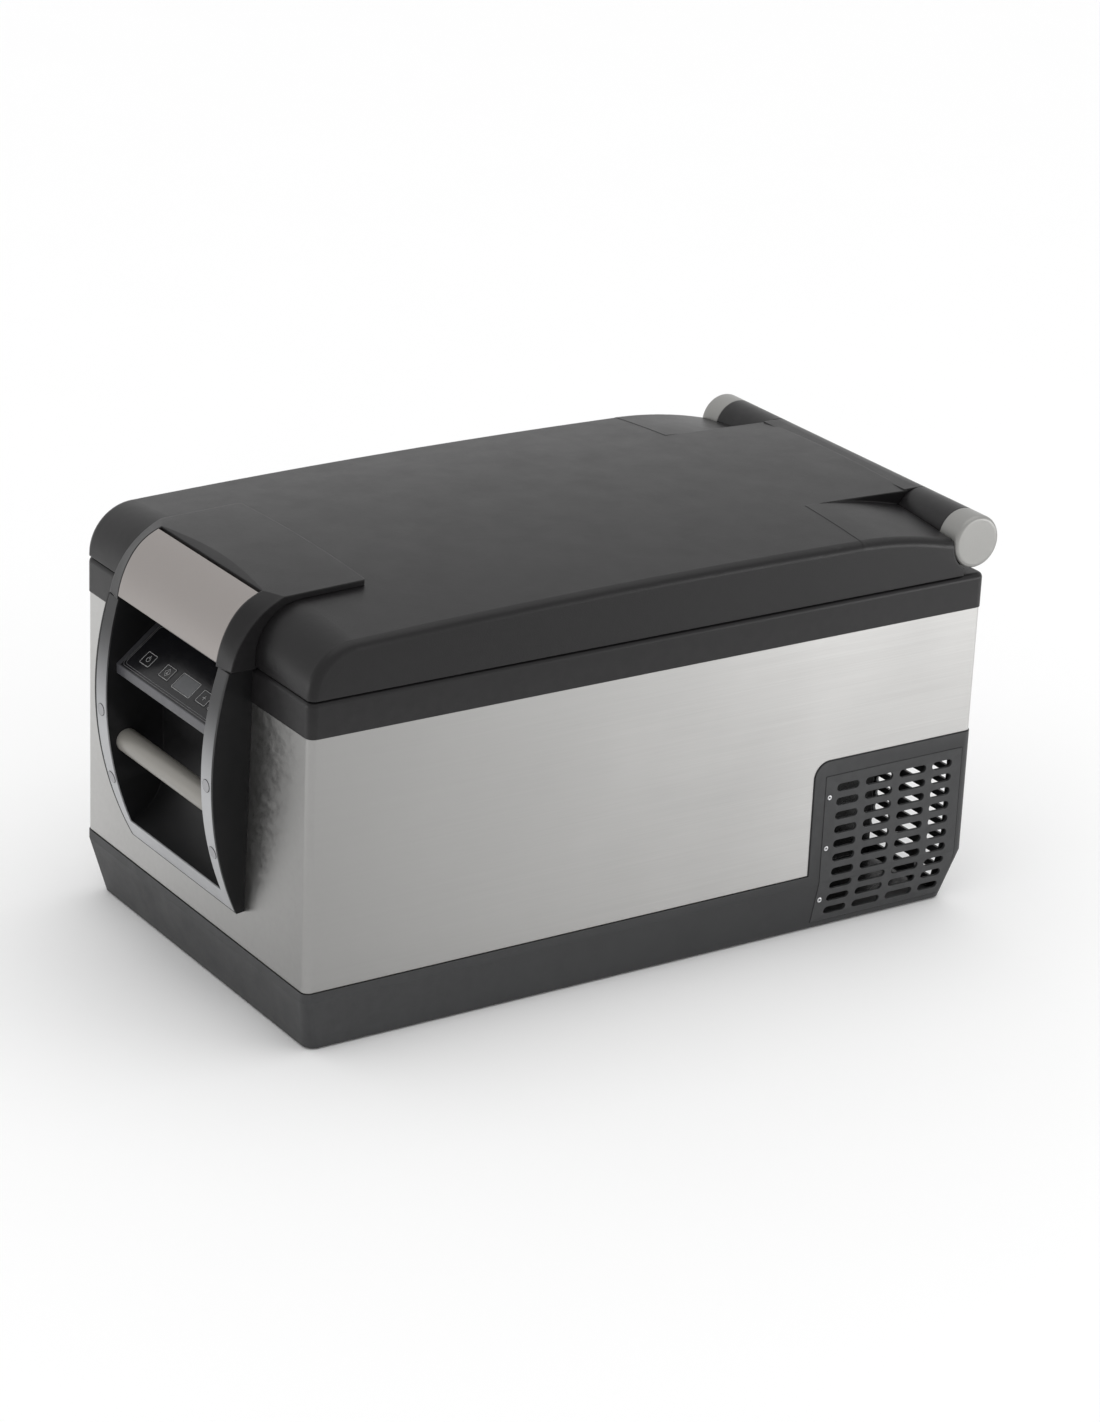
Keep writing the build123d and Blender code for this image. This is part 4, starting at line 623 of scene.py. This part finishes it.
class PanelFace:
    """Places points on the sloping top of one panel node."""

    def __init__(self, node):
        points = [vert.co for vert in NODES[node].data.vertices]
        self.across = Vector((1.0, 0.0, 0.0))
        self.out = PANEL_OUT
        self.up = self.out.cross(self.across)
        spans = []
        for axis in (self.across, self.up, self.out):
            values = [point.dot(axis) for point in points]
            spans.append((min(values), max(values)))
        (u0, u1), (v0, v1), (_, self.top) = spans
        self.wide, self.tall = u1 - u0, v1 - v0
        self.mid = ((u0 + u1) / 2, (v0 + v1) / 2)

    def at(self, u, v, lift=0.0):
        """A point across and up from the middle, on the face or lifted off it."""
        return (
            self.across * (self.mid[0] + u)
            + self.up * (self.mid[1] + v)
            + self.out * (self.top + lift)
        )

    def box_path(self, half_wide, half_tall, corner, lift=0.0):
        places = ((-1, -1), (1, -1), (1, 1), (-1, 1))
        points = [self.at(i * half_wide, j * half_tall, lift) for i, j in places]
        return (soft_corners(points, corner, closed=True), True)

    def line(self, *places):
        return ([self.at(u * MM, v * MM) for u, v in places], False)

    def arc(self, radius, start, end, count=20):
        points = []
        for i in range(count + 1):
            turn = math.radians(start + (end - start) * i / count)
            points.append(self.at(radius * MM * math.cos(turn), radius * MM * math.sin(turn)))
        return (points, False)


def fascia_slope():
    """The panel's outward direction, read from the largest flat face of the fascia."""
    total = Vector((0.0, 0.0, 0.0))
    for face in NODES["control_fascia"].data.polygons:
        if face.normal.z > 0.5 and face.normal.y < -0.3:
            total += face.normal * face.area
    return total.normalized()


PANEL_OUT = fascia_slope()


def panel_marks():
    """Outlines and plain symbols: power, source, up and down, and the display's frame."""
    for name in ("power", "source", "up", "down"):
        face = PanelFace(f"button_{name}")
        half_wide = face.wide / 2 - BUTTON_MARGIN
        half_tall = face.tall / 2 - BUTTON_MARGIN / 2
        paths = [face.box_path(half_wide, half_tall, BUTTON_MARK_CORNER)]
        if name == "power":
            paths.append(face.arc(3.0, 120.0, 420.0))
            paths.append(face.line((0.0, 0.6), (0.0, 4.4)))
        elif name == "source":
            diamond = ((0.0, 4.6), (4.6, 0.0), (0.0, -4.6), (-4.6, 0.0), (0.0, 4.6))
            paths.append(face.line(*diamond))
            paths.append(face.line((0.0, 2.2), (0.0, -2.2)))
            paths.append(face.line((-1.4, -0.8), (0.0, -2.2), (1.4, -0.8)))
        else:
            paths.append(face.line((-2.8, 0.0), (2.8, 0.0)))
            if name == "up":
                paths.append(face.line((0.0, -2.8), (0.0, 2.8)))
        wires(f"marks_{name}", paths, PRINT_LINE, PRINT_WHITE, f"{name}_button", 1)
    glass = PanelFace("display_window")
    fascia = PanelFace("control_fascia")
    sunk = fascia.top - glass.top
    half_wide = glass.wide / 2 + DISPLAY_MARGIN
    half_tall = glass.tall / 2 + DISPLAY_MARGIN
    outline = glass.box_path(half_wide, half_tall, DISPLAY_CORNER, sunk)
    wires("display_outline", [outline], PRINT_LINE, PRINT_WHITE, "cabinet", 1)
    edges = []
    for margin in BEAD_MARGINS:
        edges.append(fascia.box_path(fascia.wide / 2 - margin, fascia.tall / 2 - margin, BEAD_CORNER))
    wires("fascia_beads", edges, BEAD_LINE, PRINT_GREY, "cabinet", 2)


# ---- small fixings -------------------------------------------------------------------------------
PLUG_LINE = 0.32 * MM
PLUG_LINE_SUNK = 0.35 * MM
PLUG_LINE_GAP = 0.1 * MM
SEAM_LINE = 0.4 * MM
# The frame's line lies in the step where the moulded frame stands out from the steel.
FRAME_LINE = 0.6 * MM
FRAME_LIFT = 0.2 * MM
FRAME_MARGIN = 15.3 * MM
FRAME_CORNER = 19.5 * MM
WRAP_CORNER = 8.2 * MM


def plug_rings():
    """A dark joint line round each console plug."""
    paths = []
    for island in islands("trim_plugs"):
        centre, normal, radius = outer_cap(island, Vector((0.0, -1.0, 0.0)))
        place = centre - normal * PLUG_LINE_SUNK
        paths.append((circle_path(place, normal, radius + PLUG_LINE_GAP), True))
    wires("plug_joint_lines", paths, PLUG_LINE, MATERIALS["dark_plastic"], "cabinet", 2)


def front_edge(node):
    """A side grille's outward side, and how far out its front edge is above the knee and at the foot."""
    low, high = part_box(node)
    side = 1.0 if high.x > 0 else -1.0
    front = [vert.co for vert in NODES[node].data.vertices if vert.co.y < low.y + SEAM_LINE]
    reach = max(side * point.x for point in front)
    knee = min(point.z for point in front if side * point.x > reach - 0.1 * MM)
    foot_reach = max(side * point.x for point in front if point.z < low.z + MM)
    return side, reach, foot_reach, knee


def grille_joint_lines():
    """Dark lines where each side grille sits in its frame: up the front edge and along the top."""
    paths = []
    for node in ("vent_grille_right", "vent_grille_left"):
        low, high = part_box(node)
        side, reach, foot_reach, knee = front_edge(node)
        points = (
            (side * foot_reach, low.y, low.z),
            (side * reach, low.y, knee),
            (side * reach, low.y, high.z),
            (side * reach, high.y, high.z),
        )
        paths.append((points, False))
    wires("grille_joint_lines", paths, SEAM_LINE, MATERIALS["dark_plastic"], "cabinet", 2)


def frame_joint_line():
    """A dark line round the vent frame, where it stands out from the steel on both sides and the rear."""
    knee = front_edge("vent_grille_left")[3]
    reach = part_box("steel_wrap")[1].x + FRAME_LIFT
    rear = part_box("steel_wrap")[1].y + FRAME_LIFT
    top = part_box("base_tub")[1].z + FRAME_LINE
    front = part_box("vent_grille_left")[0].y - FRAME_MARGIN
    corners = (
        (reach, front, knee),
        (reach, front, top),
        (reach, rear, top),
        (-reach, rear, top),
        (-reach, front, top),
        (-reach, front, knee),
    )
    radii = (0.0, FRAME_CORNER, WRAP_CORNER, WRAP_CORNER, FRAME_CORNER, 0.0)
    paths = [(soft_corners(corners, radii, steps=12), False)]
    wires("frame_joint_line", paths, FRAME_LINE, MATERIALS["dark_plastic"], "cabinet", 2)


SCREW_SIDES = 24
SCREW_RISE = 0.5 * MM
DRIVER_DIP = 0.1
# Reach as a share of the head's radius and rise as a share of SCREW_RISE, from the recess to the rim.
SCREW_PROFILE = ((0.40, -0.9), (0.44, 0.35), (0.62, 0.42), (0.86, 0.25), (1.0, -0.1), (1.0, -0.9))
DRIVER_RINGS = 2


def screw_heads():
    """Pan-headed grille screws, each with a turned edge and a six-sided driver recess."""
    mesh = bmesh.new()
    for island in islands("grille_screws"):
        points = island[0]
        side = 1.0 if points[0].x > 0 else -1.0
        centre, normal, radius = outer_cap(island, Vector((side, 0.0, 0.0)))
        across = normal.orthogonal().normalized()
        other = normal.cross(across)
        rings = []
        for index, (reach, rise) in enumerate(SCREW_PROFILE):
            ring = []
            for i in range(SCREW_SIDES):
                turn = 2 * math.pi * i / SCREW_SIDES
                out = reach * radius
                if index < DRIVER_RINGS:
                    out *= 1.0 - DRIVER_DIP + DRIVER_DIP * abs(math.cos(3 * turn))
                place = centre + across * (out * math.cos(turn)) + other * (out * math.sin(turn))
                ring.append(mesh.verts.new(place + normal * (rise * SCREW_RISE)))
            rings.append(ring)
        for lower, upper in zip(rings[:-1], rings[1:]):
            for i in range(SCREW_SIDES):
                j = (i + 1) % SCREW_SIDES
                mesh.faces.new((lower[i], lower[j], upper[j], upper[i]))
        mesh.faces.new(rings[0])
        mesh.faces.new(list(reversed(rings[-1])))
    bmesh.ops.recalc_face_normals(mesh, faces=mesh.faces)
    data = bpy.data.meshes.new("grille_screw_heads")
    mesh.to_mesh(data)
    mesh.free()
    for face in data.polygons:
        face.use_smooth = True
    data.materials.append(MATERIALS["bright_steel"])
    piece = bpy.data.objects.new("grille_screw_heads", data)
    bpy.context.scene.collection.objects.link(piece)
    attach(piece, "cabinet")
    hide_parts("grille_screws")


make_camera()
make_studio()
dress_cad_nodes()
wire_basket("basket_main", "main_basket")
wire_basket("basket_rear", "rear_basket")
panel_marks()
plug_rings()
grille_joint_lines()
frame_joint_line()
screw_heads()
